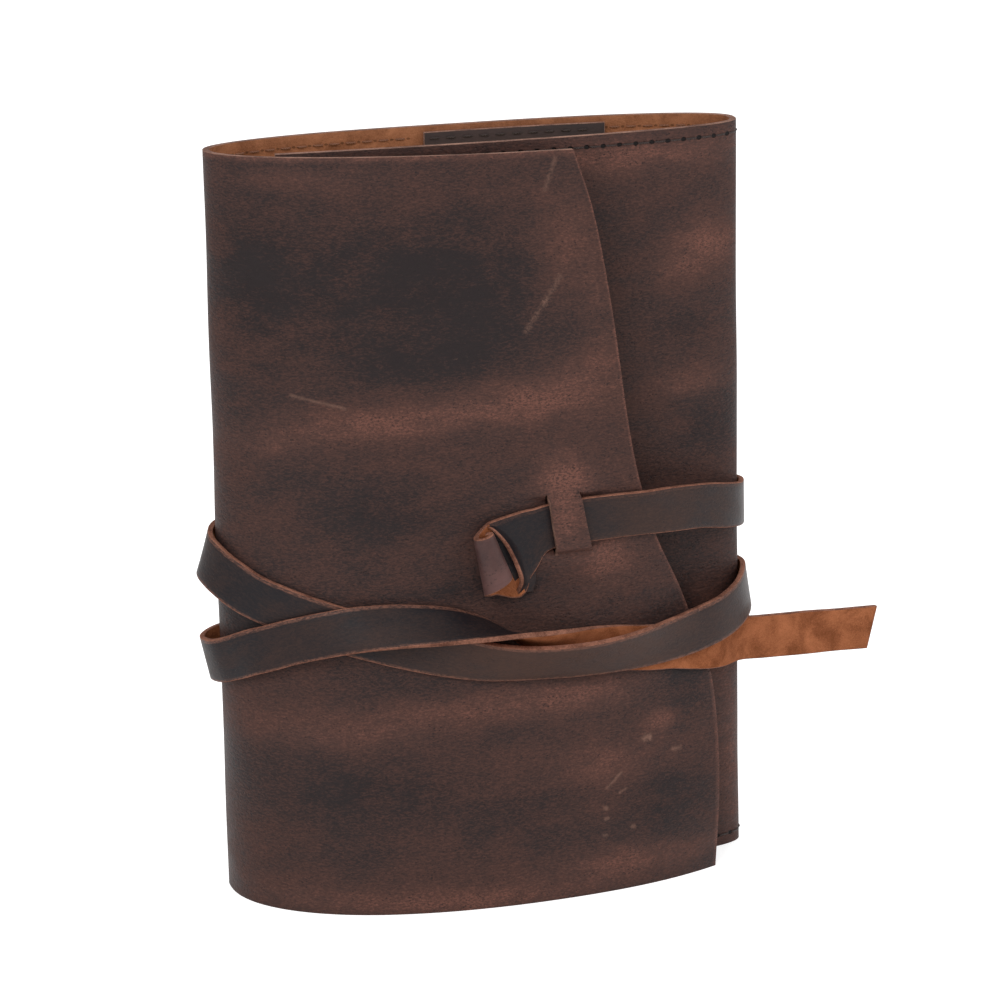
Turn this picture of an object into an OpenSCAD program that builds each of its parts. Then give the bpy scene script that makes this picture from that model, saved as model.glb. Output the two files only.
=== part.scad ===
// Leather travel notebook: a one-piece leather cover with a wrap-over flap,
// closed by a leather strap, holding a stitched-in pair of pockets and a paper refill.
// It stands on its lower edges. The origin is at the foot of the fore-edge fold, in the middle
// of the leather. X runs from the fold to the spine, Y from the flap side to the back, Z up.

/* [Cover] */
// Height of the leather cover
cover_h = 225; // [215:1:235]
// Width of the closed cover, fore-edge fold to spine
cover_w = 159; // [152:1:166]
// Thickness of the cover leather
cover_t = 2; // [1.6:0.1:2.3]
// How far the back bows out from the middle plane
back_bow = 17; // [15:0.5:19]
// How far the front bows out from the middle plane
front_bow = 14.5; // [13.5:0.5:16]
// Distance of the front's free edge from the fore-edge fold
front_edge = 19; // [18:0.5:24]

/* [Flap] */
// How far the flap stands out at its foot
flap_foot = 41.4; // [39:0.2:44]
// How far the flap stands out at its head
flap_head = 28; // [26:0.5:31]
// How much the strap pinches the flap in
flap_pinch = 3.5; // [2.5:0.1:4.5]
// How far the flap reaches from the fore-edge fold at its foot
flap_reach = 146; // [143:0.5:148]
// How much lower the flap's top edge hangs at its free end
flap_drop = 1.2; // [0:0.1:2]

/* [Keeper] */
// Distance of the keeper's strip from the fore-edge fold
keeper_x = 93.5; // [91:0.5:96]
// Width of the strip left between the two slits
keeper_w = 10; // [8:0.5:12]
// Length of the two slits
keeper_len = 18.5; // [18:0.1:21]
// Height of the middle of the slits
keeper_z = 114.5; // [114.2:0.1:115.5]
// Opening of each slit
slit_w = 1; // [0.6:0.1:1.4]

/* [Strap] */
// Width of the strap
strap_w = 13.5; // [12:0.1:14]
// Thickness of the strap
strap_t = 1.6; // [1.4:0.1:1.8]
// Clearance between the strap and the leather that it lies on
strap_fit = 0.3; // [0.2:0.05:0.4]
// Length of the free end past the spine
tail_len = 45; // [30:1:60]

/* [Pockets] */
// Thickness of the pocket leather
pocket_t = 1.2; // [0.8:0.1:1.4]
// Width of the back pocket
back_pocket_w = 55; // [45:1:65]
// Distance of the back pocket from the fore-edge fold
back_pocket_x = 68; // [60:1:75]
// Distance of the front pocket's open side from the fore-edge fold
front_pocket_x = 66; // [60:1:72]
// Distance of the front pocket's closed side from the spine
front_pocket_stop = 12; // [8:1:16]
// How far the pockets stay below and above the cover's edges
pocket_inset = 1.5; // [1:0.1:2.5]
// How far the front pocket's open side gapes
pocket_gape = 3; // [1:0.2:3.4]

/* [Seams] */
// Length of one stitch
stitch_len = 3.4; // [2.5:0.1:4]
// Distance from one stitch to the next
stitch_pitch = 5; // [4.6:0.1:6]
// Thickness of the thread
thread_d = 0.8; // [0.5:0.1:1]
// Distance of the seams from the cover's edges
seam_inset = 3.4; // [2.8:0.1:4.5]

/* [Refill] */
// How far the paper refill stays below and above the cover's edges
refill_inset = 7.5; // [6.5:0.5:12]
// Thickness of the refill's card cover
card_t = 0.4; // [0.3:0.05:0.5]
// Clearance between the card and the leather on each side of it
card_fit = 0.2; // [0.15:0.05:0.3]
// Distance of the pages from the fore-edge fold
pages_x = 9; // [8:0.5:14]
// Thickness of the page block at its fore edge
pages_edge = 10; // [8:0.5:11]

/* [Hidden] */

leather = [0.24, 0.16, 0.14];
strap_brown = [0.2, 0.16, 0.16];
panel_brown = [0.19, 0.15, 0.15];
thread_brown = [0.1, 0.07, 0.07];
kraft = [0.66, 0.5, 0.34];
paper = [0.93, 0.9, 0.82];

FRONT = -1;
BACK = 1;
mid_x = cover_w / 2;
// Roundness of the bows: 2 is an ellipse, more is squarer
front_round = 2.9;
back_round_spine = 2.3;
back_round_fold = 2.5;
// How much the front lies back towards the middle at its free edge
front_lean = 3.6;
// Where the flap stands out furthest, at foot and head
crest_foot = 70;
crest_head = 95;
// How slowly the flap falls back past its crest, at foot and head
fall_foot = 96;
fall_head = 150;
fall_pinch = 41;
// Middle and reach of the strap's pinch
pinch_z = 95;
pinch_reach = 48;

// Everything is drawn from the outer face of the fold and moved to the middle of its leather
module placed() { translate([-cover_t / 2, 0, 0]) children(); }

function mix(a, b, u) = a + (b - a) * u;
function unit(v) = v / norm(v);

// Smooth curve through rows of [place, value, ...]
function slope(rows, i) =
    let(a = rows[max(i - 1, 0)], b = rows[min(i + 1, len(rows) - 1)])
    (b - a) / (b[0] - a[0]);
function seek(rows, t, i = 0) =
    i >= len(rows) - 2 || t < rows[i + 1][0] ? i : seek(rows, t, i + 1);
function along(rows, t) =
    let(i = seek(rows, t), a = rows[i], b = rows[i + 1], d = b[0] - a[0], u = (t - a[0]) / d)
    a * (2 * u ^ 3 - 3 * u ^ 2 + 1) + slope(rows, i) * d * (u ^ 3 - 2 * u ^ 2 + u)
    + b * (3 * u ^ 2 - 2 * u ^ 3) + slope(rows, i + 1) * d * (u ^ 3 - u ^ 2);

// Plan of the cover
function bow(share, n) = max(1 - abs(share) ^ n, 0) ^ (1 / n);
function front_y(x) = x > mid_x
    ? -front_bow * bow((x - mid_x) / (cover_w - mid_x), front_round)
    : -front_bow + front_lean * ((mid_x - x) / mid_x) ^ 2;
function back_y(x) =
    back_bow * bow((x - mid_x) / mid_x, x > mid_x ? back_round_spine : back_round_fold);

// The flap changes with height: out at the foot, pinched in at the strap
function pinch(z) = exp(-((z - pinch_z) / pinch_reach) ^ 2);
function crest_x(z) = mix(crest_foot, crest_head, z / cover_h);
function crest_y(z) = mix(flap_foot, flap_head, z / cover_h) - flap_pinch * pinch(z);
function fall(z) = mix(fall_foot, fall_head, z / cover_h) - fall_pinch * pinch(z);
function fold_round(z) = mix(2.2, 1.9, z / cover_h);
function flap_y(x, z) = x < crest_x(z)
    ? -crest_y(z) * bow((crest_x(z) - x) / crest_x(z), fold_round(z))
    : -crest_y(z) * bow((x - crest_x(z)) / fall(z), 2);
function flap_z(x, z) = z * (1 - flap_drop / cover_h * x / flap_reach);

// The S-curved free edge of the flap, as [height, distance from the fold]
flap_edge = [
    [0, flap_reach - 1],
    [30, flap_reach],
    [58, flap_reach - 0.8],
    [70, flap_reach - 4],
    [88, flap_reach - 10.5],
    [108, flap_reach - 19.5],
    [135, flap_reach - 26.8],
    [cover_h - 45, flap_reach - 33],
    [cover_h - 18, flap_reach - 37.6],
    [cover_h, flap_reach - 43]];
function edge_x(z) = along(flap_edge, z)[1];
// Columns lean with the free edge the nearer they are to it
function lean_x(x, z) = x + (x / edge_x(keeper_z)) ^ 3 * (edge_x(z) - edge_x(keeper_z));

// Turns a plan direction into the outward side of it
function outward(d) = unit([d[1], -d[0]]);

// One plan section of the cover, from the front's free edge round to the flap's
turn_steps = 12;
keeper_end = keeper_x + keeper_w;
slit_end = keeper_end + slit_w;
function front_part() = concat(
    [for (k = [0 : 4]) let(x = mix(front_edge, mid_x, k / 5)) [x, front_y(x)]],
    [for (k = [0 : turn_steps - 1]) let(a = 90 - 90 * k / turn_steps,
        x = mid_x + mid_x * cos(a) ^ (2 / front_round)) [x, -front_bow * sin(a) ^ (2 / front_round)]]);
function back_part() = concat(
    [for (k = [0 : turn_steps - 1]) let(a = 90 * k / turn_steps)
        [mid_x + mid_x * cos(a) ^ (2 / back_round_spine), back_bow * sin(a) ^ (2 / back_round_spine)]],
    [for (k = [0 : turn_steps - 1]) let(a = 90 - 90 * k / turn_steps)
        [mid_x - mid_x * cos(a) ^ (2 / back_round_fold), back_bow * sin(a) ^ (2 / back_round_fold)]]);
fold_steps = 10;
fold_turn = 60;
function fold_part(z) = [for (k = [0 : fold_steps - 1]) let(a = fold_turn * k / fold_steps,
    n = fold_round(z)) [crest_x(z) * (1 - cos(a) ^ (2 / n)), -crest_y(z) * sin(a) ^ (2 / n)]];
function flap_part(z) = let(
    start = crest_x(z) * (1 - cos(fold_turn) ^ (2 / fold_round(z))),
    stops = concat(
        [for (k = [0 : 5]) mix(start, lean_x(keeper_x - slit_w, z), k / 6)],
        [for (x = [keeper_x - slit_w, keeper_x, for (k = [1 : 3]) keeper_x + keeper_w * k / 4,
            keeper_end, slit_end]) lean_x(x, z)],
        [for (k = [1 : 3]) mix(lean_x(slit_end, z), edge_x(z), k / 3)]))
    [for (x = stops) [x, flap_y(x, z)]];
function section(z) = concat(front_part(), back_part(), fold_part(z), flap_part(z));

fold_col = 5 + 3 * turn_steps;
slit_col = fold_col + fold_steps + 6;
strip_cols = [slit_col + 1, slit_col + 5];
last_col = slit_col + 9;

slit_lo = keeper_z - keeper_len / 2;
slit_hi = keeper_z + keeper_len / 2;
// The strip reaches its full lift this far from the slits' ends
lift_run = 1.5;
function evenly(a, b, n) = [for (k = [0 : n - 1]) mix(a, b, k / n)];
rows_z = concat(evenly(0, slit_lo, 7), [slit_lo], evenly(slit_lo + lift_run, slit_hi - lift_run, 6),
    [slit_hi - lift_run], evenly(slit_hi, cover_h, 8), [cover_h]);
function in_slit(z) = z > slit_lo - 0.01 && z < slit_hi - 0.01;

// The strip between the slits is lifted just clear of the strap under it
strap_dip = 0.5;
keeper_lift = strap_t - strap_dip + 3.5 * strap_fit + cover_t;
function lift(z) = keeper_lift * max(0, min(1, (z - slit_lo) / lift_run, (slit_hi - z) / lift_run));

function column_points(z, depth) = let(line = section(z))
    [for (i = [0 : len(line) - 1]) let(
        d = line[min(i + 1, len(line) - 1)] - line[max(i - 1, 0)],
        n = outward(d),
        raised = i >= strip_cols[0] && i <= strip_cols[1] ? lift(z) : 0,
        p = line[i] + n * (raised - depth))
        [p[0], p[1], i >= fold_col ? flap_z(max(line[i][0], 0), z) : z]];

// A sheet of leather from two grids of points, with some cells cut out
module sheet(outer, inner, cut) {
    cols = len(outer[0]);
    rows = len(outer);
    size = rows * cols;
    function at(r, c, side) = side * size + r * cols + c;
    function kept(r, c) = r >= 0 && r < rows - 1 && c >= 0 && c < cols - 1 && !cut[r][c];
    faces = [for (r = [0 : rows - 2], c = [0 : cols - 2]) if (kept(r, c)) each concat(
        [[at(r, c, 0), at(r + 1, c, 0), at(r + 1, c + 1, 0)],
            [at(r, c, 0), at(r + 1, c + 1, 0), at(r, c + 1, 0)],
            [at(r, c, 1), at(r + 1, c + 1, 1), at(r + 1, c, 1)],
            [at(r, c, 1), at(r, c + 1, 1), at(r + 1, c + 1, 1)]],
        kept(r - 1, c) ? [] : [[at(r, c, 0), at(r, c + 1, 0), at(r, c + 1, 1)],
            [at(r, c, 0), at(r, c + 1, 1), at(r, c, 1)]],
        kept(r + 1, c) ? [] : [[at(r + 1, c, 0), at(r + 1, c + 1, 1), at(r + 1, c + 1, 0)],
            [at(r + 1, c, 0), at(r + 1, c, 1), at(r + 1, c + 1, 1)]],
        kept(r, c - 1) ? [] : [[at(r, c, 0), at(r + 1, c, 1), at(r + 1, c, 0)],
            [at(r, c, 0), at(r, c, 1), at(r + 1, c, 1)]],
        kept(r, c + 1) ? [] : [[at(r, c + 1, 0), at(r + 1, c + 1, 0), at(r + 1, c + 1, 1)],
            [at(r, c + 1, 0), at(r + 1, c + 1, 1), at(r, c + 1, 1)]])];
    polyhedron(concat([for (line = outer) each line], [for (line = inner) each line]), faces);
}

module cover() {
    outer = [for (z = rows_z) column_points(z, 0)];
    inner = [for (z = rows_z) column_points(z, cover_t)];
    cut = [for (z = rows_z) [for (c = [0 : last_col]) in_slit(z) && (c == slit_col || c == slit_col + 5)]];
    color(leather) placed() sheet(outer, inner, cut);
}

// The surface that the strap goes round: over the flap, straight to the spine and round the back
function girth_y(x, side, z) = side == BACK ? back_y(x)
    : x < edge_x(z) + 1 ? flap_y(x, z)
    : -crest_y(z) * bow((x - crest_x(z)) / (cover_w - crest_x(z)), 2);
function girth(x, side, z) = x < 0 ? girth(-x, -side, z)
    : x > cover_w ? girth(2 * cover_w - x, -side, z) : [x, girth_y(x, side, z)];
function girth_normal(x, side, z) = let(step = 0.4)
    outward((girth(x + step, side, z) - girth(x - step, side, z)) * -side);
function girth_rise(x, side, z) = let(step = 3)
    concat(girth(x, side, z + step) - girth(x, side, z - step), [2 * step]);

lay = strap_fit + strap_t / 2;
over = lay + strap_t + strap_fit;
spine = cover_w;
// Points of the strap's route round the cover:
// distance from the fold, side, height, distance from the leather, twist,
// and how much wider than the strap it is at its top and its foot
wraps = [
    [78.2, FRONT, 107.2, lay + 0.8, 0, 3.2, 8.1],
    [82, FRONT, 109, lay + 0.5, 0, 2.7, 4.6],
    [86.5, FRONT, 111.2, lay + 0.1, 0, 1.4, 2],
    [keeper_x - 3.5, FRONT, 112.5, lay, 0, 0.5, 0],
    [keeper_x - 0.8, FRONT, 113.5, lay, 0],
    [keeper_x + keeper_w / 2, FRONT, 114, lay - strap_dip, 0],
    [keeper_end + 0.8, FRONT, 114.5, lay, 0],
    [114, FRONT, 114.6, lay, 0],
    [123, FRONT, 114.4, lay, 0],
    [spine - 28, FRONT, 113.9, lay + 1, 0],
    [spine - 16, FRONT, 112.4, lay + 0.2, 0],
    [spine - 7, FRONT, 110, lay + 0.2, 0],
    [spine - 2, FRONT, 108.4, lay + 0.2, 0],
    [spine, BACK, 107.8, lay + 0.2, 0],
    [spine - 3, BACK, 107.4, lay + 0.2, 0],
    [spine - 12, BACK, 107, lay, 0],
    [spine - 30, BACK, 106.8, lay, 0],
    [100, BACK, 106.6, lay, 0],
    [70, BACK, 106.4, lay, 0],
    [40, BACK, 106.2, lay, 0],
    [18, BACK, 106, lay, 0],
    [7, BACK, 105.8, lay + 1, -6],
    [2, BACK, 105.3, lay + 2.1, -13],
    [0, FRONT, 104.2, lay + 2.6, -17],
    [1.2, FRONT, 101.8, lay + 2.3, -14],
    [4, FRONT, 98.4, lay + 1.2, -8],
    [8, FRONT, 95.2, lay + 0.4, -2],
    [15, FRONT, 92, lay, 0],
    [22, FRONT, 89.2, lay, 0],
    [32, FRONT, 85.8, lay, 0],
    [44, FRONT, 82.2, lay, 0],
    [54, FRONT, 79.6, lay + 0.4, 3],
    [65, FRONT, 77, lay + 2, 18],
    [77, FRONT, 75.2, lay + 4.2, 32],
    [90, FRONT, 74.4, lay + 5.4, 38],
    [103, FRONT, 74.2, lay + 6, 36],
    [116, FRONT, 74.4, over + 3.2, 27],
    [128, FRONT, 75, over + 1.8, 14],
    [spine - 22, FRONT, 76, over + 1.5, 5],
    [spine - 13, FRONT, 77.6, over + 1.3, 0],
    [spine - 6, FRONT, 79.6, over + 0.6, -4],
    [spine - 1.5, FRONT, 81.2, over - 0.4, -8],
    [spine, BACK, 82, lay + 1.2, -8],
    [spine - 3, BACK, 82.2, lay + 0.8, -5],
    [spine - 12, BACK, 82, lay, 0],
    [spine - 30, BACK, 81.2, lay, 0],
    [100, BACK, 79.6, lay, 0],
    [70, BACK, 77.8, lay, 0],
    [40, BACK, 75.8, lay, 0],
    [18, BACK, 74.2, lay, 0],
    [7, BACK, 73.2, lay + 0.6, 0],
    [2, BACK, 72.6, lay + 1.6, 6],
    [0, FRONT, 72.6, lay + 3, 12],
    [1.2, FRONT, 73.6, lay + 3, 12],
    [4, FRONT, 75.8, lay + 2, 6],
    [8, FRONT, 78.4, over + 0.1, 0],
    [12.5, FRONT, 80.4, over + 0.3, -1],
    [18, FRONT, 82.6, over + 0.4, -4],
    [26, FRONT, 85, over + 1.2, -10],
    [36, FRONT, 87, over + 1.8, -19],
    [46, FRONT, 87.7, over + 1.8, -30],
    [55, FRONT, 87.8, over + 2.7, -42],
    [64, FRONT, 87.4, over + 3.9, -58],
    [73, FRONT, 86, over + 4.8, -78],
    [82, FRONT, 83.4, over + 4.6, -104],
    [91, FRONT, 79.8, over + 3.2, -132],
    [101, FRONT, 76.6, lay + 2.6, -160],
    [112, FRONT, 74.6, lay + 0.4, -176],
    [122, FRONT, 72.8, lay, -180],
    [132, FRONT, 71.4, lay + 0.1, -180],
    [spine - 18, FRONT, 69.4, lay + 0.7, -180],
    [spine - 10, FRONT, 67.8, lay + 0.5, -180]];
// Free end: past the spine, depth and height
tail = [
    [-2, -10.5, 66.6],
    [6, -7, 65.4],
    [tail_len / 2, -1, 63.4],
    [tail_len, 6, 61]];

// The strap's wide end is rolled up into a toggle that stops at the keeper
roll_x = 74.9;
roll_z = 105.8;
roll_rise = 15.5;
roll_r = 4;
roll_gap = 0.15;
roll_turns = 330;
roll_step = 30;
roll_cone = 6;
roll_stand = 1.1;
roll_top = 8.6;
roll_foot = 5.8;
// How much lower the roll's outer end reaches, as a pointed tip
roll_tip = 6.6;
roll_normal = let(n = girth_normal(roll_x, FRONT, roll_z)) [n[0], n[1], 0];
roll_ahead = unit([-roll_normal[1] * cos(roll_rise), roll_normal[0] * cos(roll_rise), sin(roll_rise)]);
roll_axis = cross(roll_normal, roll_ahead);
roll_centre = let(p = girth(roll_x, FRONT, roll_z))
    [p[0], p[1], roll_z] + roll_normal * (lay + roll_stand + roll_r);
roll = [for (a = [-roll_turns : roll_step : -roll_step / 2]) let(
    r = roll_r + (strap_t + roll_gap) * a / 360,
    off = cos(a - 90) * roll_ahead + sin(a - 90) * roll_normal)
    [roll_centre + r * off, roll_axis * cos(roll_cone) - off * sin(roll_cone),
        [roll_top, roll_foot + roll_tip * (1 + a / roll_turns) ^ 2]]];

function wrap_point(w) = let(n = girth_normal(w[0], w[1], w[2]))
    concat(girth(w[0], w[1], w[2]) + n * w[3], [w[2]]);
wrap_points = [for (w = wraps) wrap_point(w)];
function wrap_up(i) = let(
    w = wraps[i],
    ahead = unit(wrap_points[min(i + 1, len(wraps) - 1)] - wrap_points[max(i - 1, 0)]),
    n = unit(cross(ahead, girth_rise(w[0], w[1], w[2]))),
    rise = cross(n, ahead))
    rise * cos(w[4]) + n * sin(w[4]);
half_w = strap_w / 2;
function halves(w) = is_undef(w[5]) ? [half_w, half_w] : [half_w + w[5], half_w + w[6]];
stops = concat(
    roll,
    [for (i = [0 : len(wraps) - 1]) [wrap_points[i], wrap_up(i), halves(wraps[i])]],
    [for (t = tail) [[spine + t[0], t[1], t[2]], [0, 0, -1], [half_w, half_w]]]);
function travelled(i) = i == 0 ? 0 : travelled(i - 1) + norm(stops[i][0] - stops[i - 1][0]);
function running(i = 0, s = 0) = i >= len(stops) ? []
    : let(here = i == 0 ? 0 : s + norm(stops[i][0] - stops[i - 1][0]))
    concat([concat([here], stops[i][0], stops[i][1], stops[i][2])], running(i + 1, here));
route = running();
strap_len = route[len(route) - 1][0];
ring_step = 3;
roll_rings = 20;
roll_len = route[len(roll)][0];
ring_stops = concat([for (k = [0 : roll_rings - 1]) roll_len * k / roll_rings],
    let(count = floor((strap_len - roll_len) / ring_step))
    [for (k = [0 : count]) mix(roll_len, strap_len, k / count)]);
function place_of(row) = [row[1], row[2], row[3]];
function up_of(row) = [row[4], row[5], row[6]];
function ring(s) = let(
    row = along(route, s),
    probe = 0.2,
    ahead = unit(place_of(along(route, min(s + probe, strap_len))) - place_of(along(route, max(s - probe, 0)))),
    rough = up_of(row),
    up = unit(rough - ahead * (rough * ahead)),
    out = cross(ahead, up) * strap_t / 2,
    top = place_of(row) + up * row[7],
    foot = place_of(row) - up * row[8])
    [top + out, foot + out, foot - out, top - out];

module strap() {
    rings = [for (s = ring_stops) ring(s)];
    n = len(rings) * 4;
    sides = [for (k = [0 : len(rings) - 2], c = [0 : 3]) let(a = 4 * k + c, b = 4 * k + (c + 1) % 4)
        each [[b, a, b + 4], [b + 4, a, a + 4]]];
    ends = [[1, 2, 3], [0, 1, 3], [n - 2, n - 3, n - 4], [n - 1, n - 2, n - 4]];
    color(strap_brown) placed() polyhedron([for (r = rings) each r], concat(sides, ends));
}

// A strip that follows the inside of the cover between two offsets from its outer face
function inner_line(xs, side, offset) = [for (x = xs) let(
    here = [x, side == BACK ? back_y(x) : front_y(x)],
    step = 0.5,
    d = side == BACK ? [-2 * step, back_y(x - step) - back_y(x + step)]
        : [2 * step, front_y(x + step) - front_y(x - step)])
    here - outward(d) * (is_function(offset) ? offset(x) : offset)];
function steps(a, b, n) = [for (k = [0 : n]) mix(a, b, k / n)];
pocket_stand = 2 * card_fit + card_t;
front_pocket_end = cover_w - front_pocket_stop;
gape_reach = 26;
function gape(x) = pocket_gape * max(0, 1 - (x - front_pocket_x) / gape_reach) ^ 2;

module front_pocket() {
    xs = steps(front_pocket_x, front_pocket_end, 20);
    outer = inner_line(xs, FRONT, function(x) cover_t + pocket_stand + gape(x));
    inner = inner_line(xs, FRONT, function(x) cover_t + pocket_stand + pocket_t + gape(x));
    color(panel_brown) placed() translate([0, 0, pocket_inset])
        linear_extrude(cover_h - 2 * pocket_inset)
            polygon(concat(outer, [for (k = [len(inner) - 1 : -1 : 0]) inner[k]]));
}

module back_pocket() {
    xs = steps(back_pocket_x + back_pocket_w, back_pocket_x, 14);
    outer = inner_line(xs, BACK, cover_t + pocket_stand);
    inner = inner_line(xs, BACK, cover_t + pocket_stand + pocket_t);
    color(panel_brown) placed() translate([0, 0, pocket_inset])
        linear_extrude(cover_h - 2 * pocket_inset)
            polygon(concat(outer, [for (k = [len(inner) - 1 : -1 : 0]) inner[k]]));
}

// The inside of the front, spine and back, at a distance from the cover's outer face
shell_line = concat(front_part(), back_part());
shell_end = len(shell_line) - 1;
pages_corner = 3;
function inside_line(depth) = [for (i = [0 : shell_end])
    let(p = shell_line[i], d = shell_line[min(i + 1, shell_end)] - shell_line[max(i - 1, 0)])
    if (p[0] >= pages_x + pages_corner) p - outward(d) * depth(p)];

// The seams run from the front's free edge round the spine and along the back
function seam_running(i = 0, s = 0) = i >= len(shell_line) ? []
    : let(here = i == 0 ? 0 : s + norm(shell_line[i] - shell_line[i - 1]))
    concat([[here, shell_line[i][0], shell_line[i][1]]], seam_running(i + 1, here));
seam_route = seam_running();
seam_len = seam_route[len(seam_route) - 1][0];
seam_start = 4;
seam_end = 14;

stitch_lift = 0.15;
inner_lift = 0.4;
edge_room = 3;
function inside_of(x, a, b) = x > a && x < b;
module stitch(p, turn, z, length) {
    translate([p[0], p[1], z]) rotate([0, 0, turn]) rotate([0, 90, 0])
        cylinder(d = thread_d, h = length, center = true, $fn = 16);
}
module seam(z) {
    for (s = [seam_start : stitch_pitch : seam_len - seam_end]) {
        a = along(seam_route, s - 0.5);
        b = along(seam_route, s + 0.5);
        d = [b[1] - a[1], b[2] - a[2]];
        p = [(a[1] + b[1]) / 2, (a[2] + b[2]) / 2];
        n = outward(d);
        turn = atan2(d[1], d[0]);
        stitch(p + n * (thread_d / 2 + stitch_lift), turn, z, stitch_len);
        clear = thread_d / 2 + inner_lift;
        ends = p[1] > 0 ? [back_pocket_x, back_pocket_x + back_pocket_w]
            : [front_pocket_x, front_pocket_end];
        on_pocket = inside_of(p[0], ends[0] + edge_room, ends[1] - edge_room);
        off_pocket = !inside_of(p[0], ends[0] - edge_room, ends[1] + edge_room);
        loose = p[1] > 0 ? 0 : gape(p[0]);
        if (on_pocket) stitch(p - n * (cover_t + pocket_stand + pocket_t + loose + clear),
            turn, z, stitch_len - thread_d);
        if (off_pocket) stitch(p - n * (cover_t + clear), turn, z, stitch_len - thread_d);
    }
}
module top_seam() { color(thread_brown) placed() seam(cover_h - seam_inset); }
module bottom_seam() { color(thread_brown) placed() seam(seam_inset); }

// The card cover of the refill: its two boards slide in behind the pockets
refill_h = cover_h - 2 * refill_inset;
card_depth = cover_t + card_fit;
module refill_cover() {
    outer = inside_line(function(p) card_depth);
    inner = inside_line(function(p) card_depth + card_t);
    color(kraft) placed() translate([0, 0, refill_inset]) linear_extrude(refill_h)
        polygon(concat(outer, [for (k = [len(inner) - 1 : -1 : 0]) inner[k]]));
}

// The page block: glued to the card at its spine, fanned out between the pockets
pages_fit = 0.3;
glued_w = 8;
gape_room = 4;
function pages_depth(p) = p[0] > cover_w - glued_w ? card_depth + card_t
    : cover_t + pocket_stand + pocket_t + pages_fit
        + (p[1] > 0 ? 0 : p[0] < front_pocket_x + gape_room ? pocket_gape : gape(p[0]));
module refill_pages() {
    fore_edge = [[pages_x, pages_edge / 2], [pages_x, -pages_edge / 2]];
    color(paper) placed() translate([0, 0, refill_inset]) linear_extrude(refill_h)
        polygon(concat(inside_line(function(p) pages_depth(p)), fore_edge));
}

cover();
strap();
front_pocket();
back_pocket();
top_seam();
bottom_seam();
refill_cover();
refill_pages();
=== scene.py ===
"""A leather travel notebook: a one-piece cover with a wrap-over flap, closed by a long strap,
with two stitched-in pockets that hold a paper refill. It stands on its lower edges."""
import bpy
import math
import numpy as np
from mathutils import Matrix, Vector, noise


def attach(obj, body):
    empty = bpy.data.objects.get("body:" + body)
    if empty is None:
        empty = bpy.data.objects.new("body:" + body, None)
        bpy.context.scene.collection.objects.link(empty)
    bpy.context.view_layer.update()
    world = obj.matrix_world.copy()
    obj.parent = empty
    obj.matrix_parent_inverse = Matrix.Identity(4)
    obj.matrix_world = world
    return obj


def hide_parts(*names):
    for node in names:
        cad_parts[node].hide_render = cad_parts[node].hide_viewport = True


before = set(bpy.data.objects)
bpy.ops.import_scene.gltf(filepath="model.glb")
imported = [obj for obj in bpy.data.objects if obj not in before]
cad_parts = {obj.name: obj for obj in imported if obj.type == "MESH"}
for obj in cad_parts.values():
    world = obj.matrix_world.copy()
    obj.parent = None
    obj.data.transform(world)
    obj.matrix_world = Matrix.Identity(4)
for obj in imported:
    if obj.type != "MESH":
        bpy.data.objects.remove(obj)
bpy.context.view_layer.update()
scene = bpy.context.scene
MM = 0.001
# Millimetres on the flat leather that one unit of a texture map stands for
FLAT_UNIT = 100

# Camera: a long lens above the flap side, a little towards the fore-edge fold.
CAMERA_PLACE = Vector((-0.20686, -1.25861, 0.48376))
CAMERA_YAW = 0.2278
CAMERA_PITCH = 0.2793
CAMERA_ROLL = 0.0192

lens = bpy.data.cameras.new("long_lens")
lens.lens = 162
lens.sensor_width = 36
lens.clip_end = 20
camera = bpy.data.objects.new("camera", lens)
scene.collection.objects.link(camera)
scene.camera = camera
ahead = Vector((math.sin(CAMERA_YAW) * math.cos(CAMERA_PITCH),
                math.cos(CAMERA_YAW) * math.cos(CAMERA_PITCH), -math.sin(CAMERA_PITCH)))
level = Vector((math.cos(CAMERA_YAW), -math.sin(CAMERA_YAW), 0))
below = ahead.cross(level)
right = math.cos(CAMERA_ROLL) * level + math.sin(CAMERA_ROLL) * below
down = math.cos(CAMERA_ROLL) * below - math.sin(CAMERA_ROLL) * level
camera.matrix_world = (Matrix.Translation(CAMERA_PLACE)
                       @ Matrix((right, -down, -ahead)).transposed().to_4x4())
scene.view_settings.view_transform = "Standard"

# Floor: a wide pale sheet. Seen straight from the camera it is lifted to white,
# and it keeps the notebook's own shadow.
FLOOR_COLOUR = (0.82, 0.82, 0.82, 1)
FLOOR_LIFT = 0.6
FLOOR_HALF = 4


def new_material(name):
    """A new material, with its nodes and the inputs of its shader."""
    material = bpy.data.materials.new(name)
    material.use_nodes = True
    nodes = material.node_tree.nodes
    return material, nodes, nodes["Principled BSDF"].inputs


def placed(name, data):
    made = bpy.data.objects.new(name, data)
    scene.collection.objects.link(made)
    return made


def dress(made, *materials):
    for material in materials:
        made.data.materials.append(material)


def give(socket, value):
    """Links a node's output to a socket, or sets the socket to a plain value."""
    if isinstance(value, bpy.types.NodeSocket):
        socket.id_data.links.new(value, socket)
    elif value is not None:
        socket.default_value = value


def math_node(operation, a, b=None, clamp=False):
    tree = (a if isinstance(a, bpy.types.NodeSocket) else b).id_data
    node = tree.nodes.new("ShaderNodeMath")
    node.operation = operation
    node.use_clamp = clamp
    give(node.inputs[0], a)
    give(node.inputs[1], b)
    return node.outputs[0]


def times(a, b):
    return math_node("MULTIPLY", a, b)


def plus(a, b, clamp=False):
    return math_node("ADD", a, b, clamp)


def minus(a, b):
    return math_node("SUBTRACT", a, b)


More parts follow.
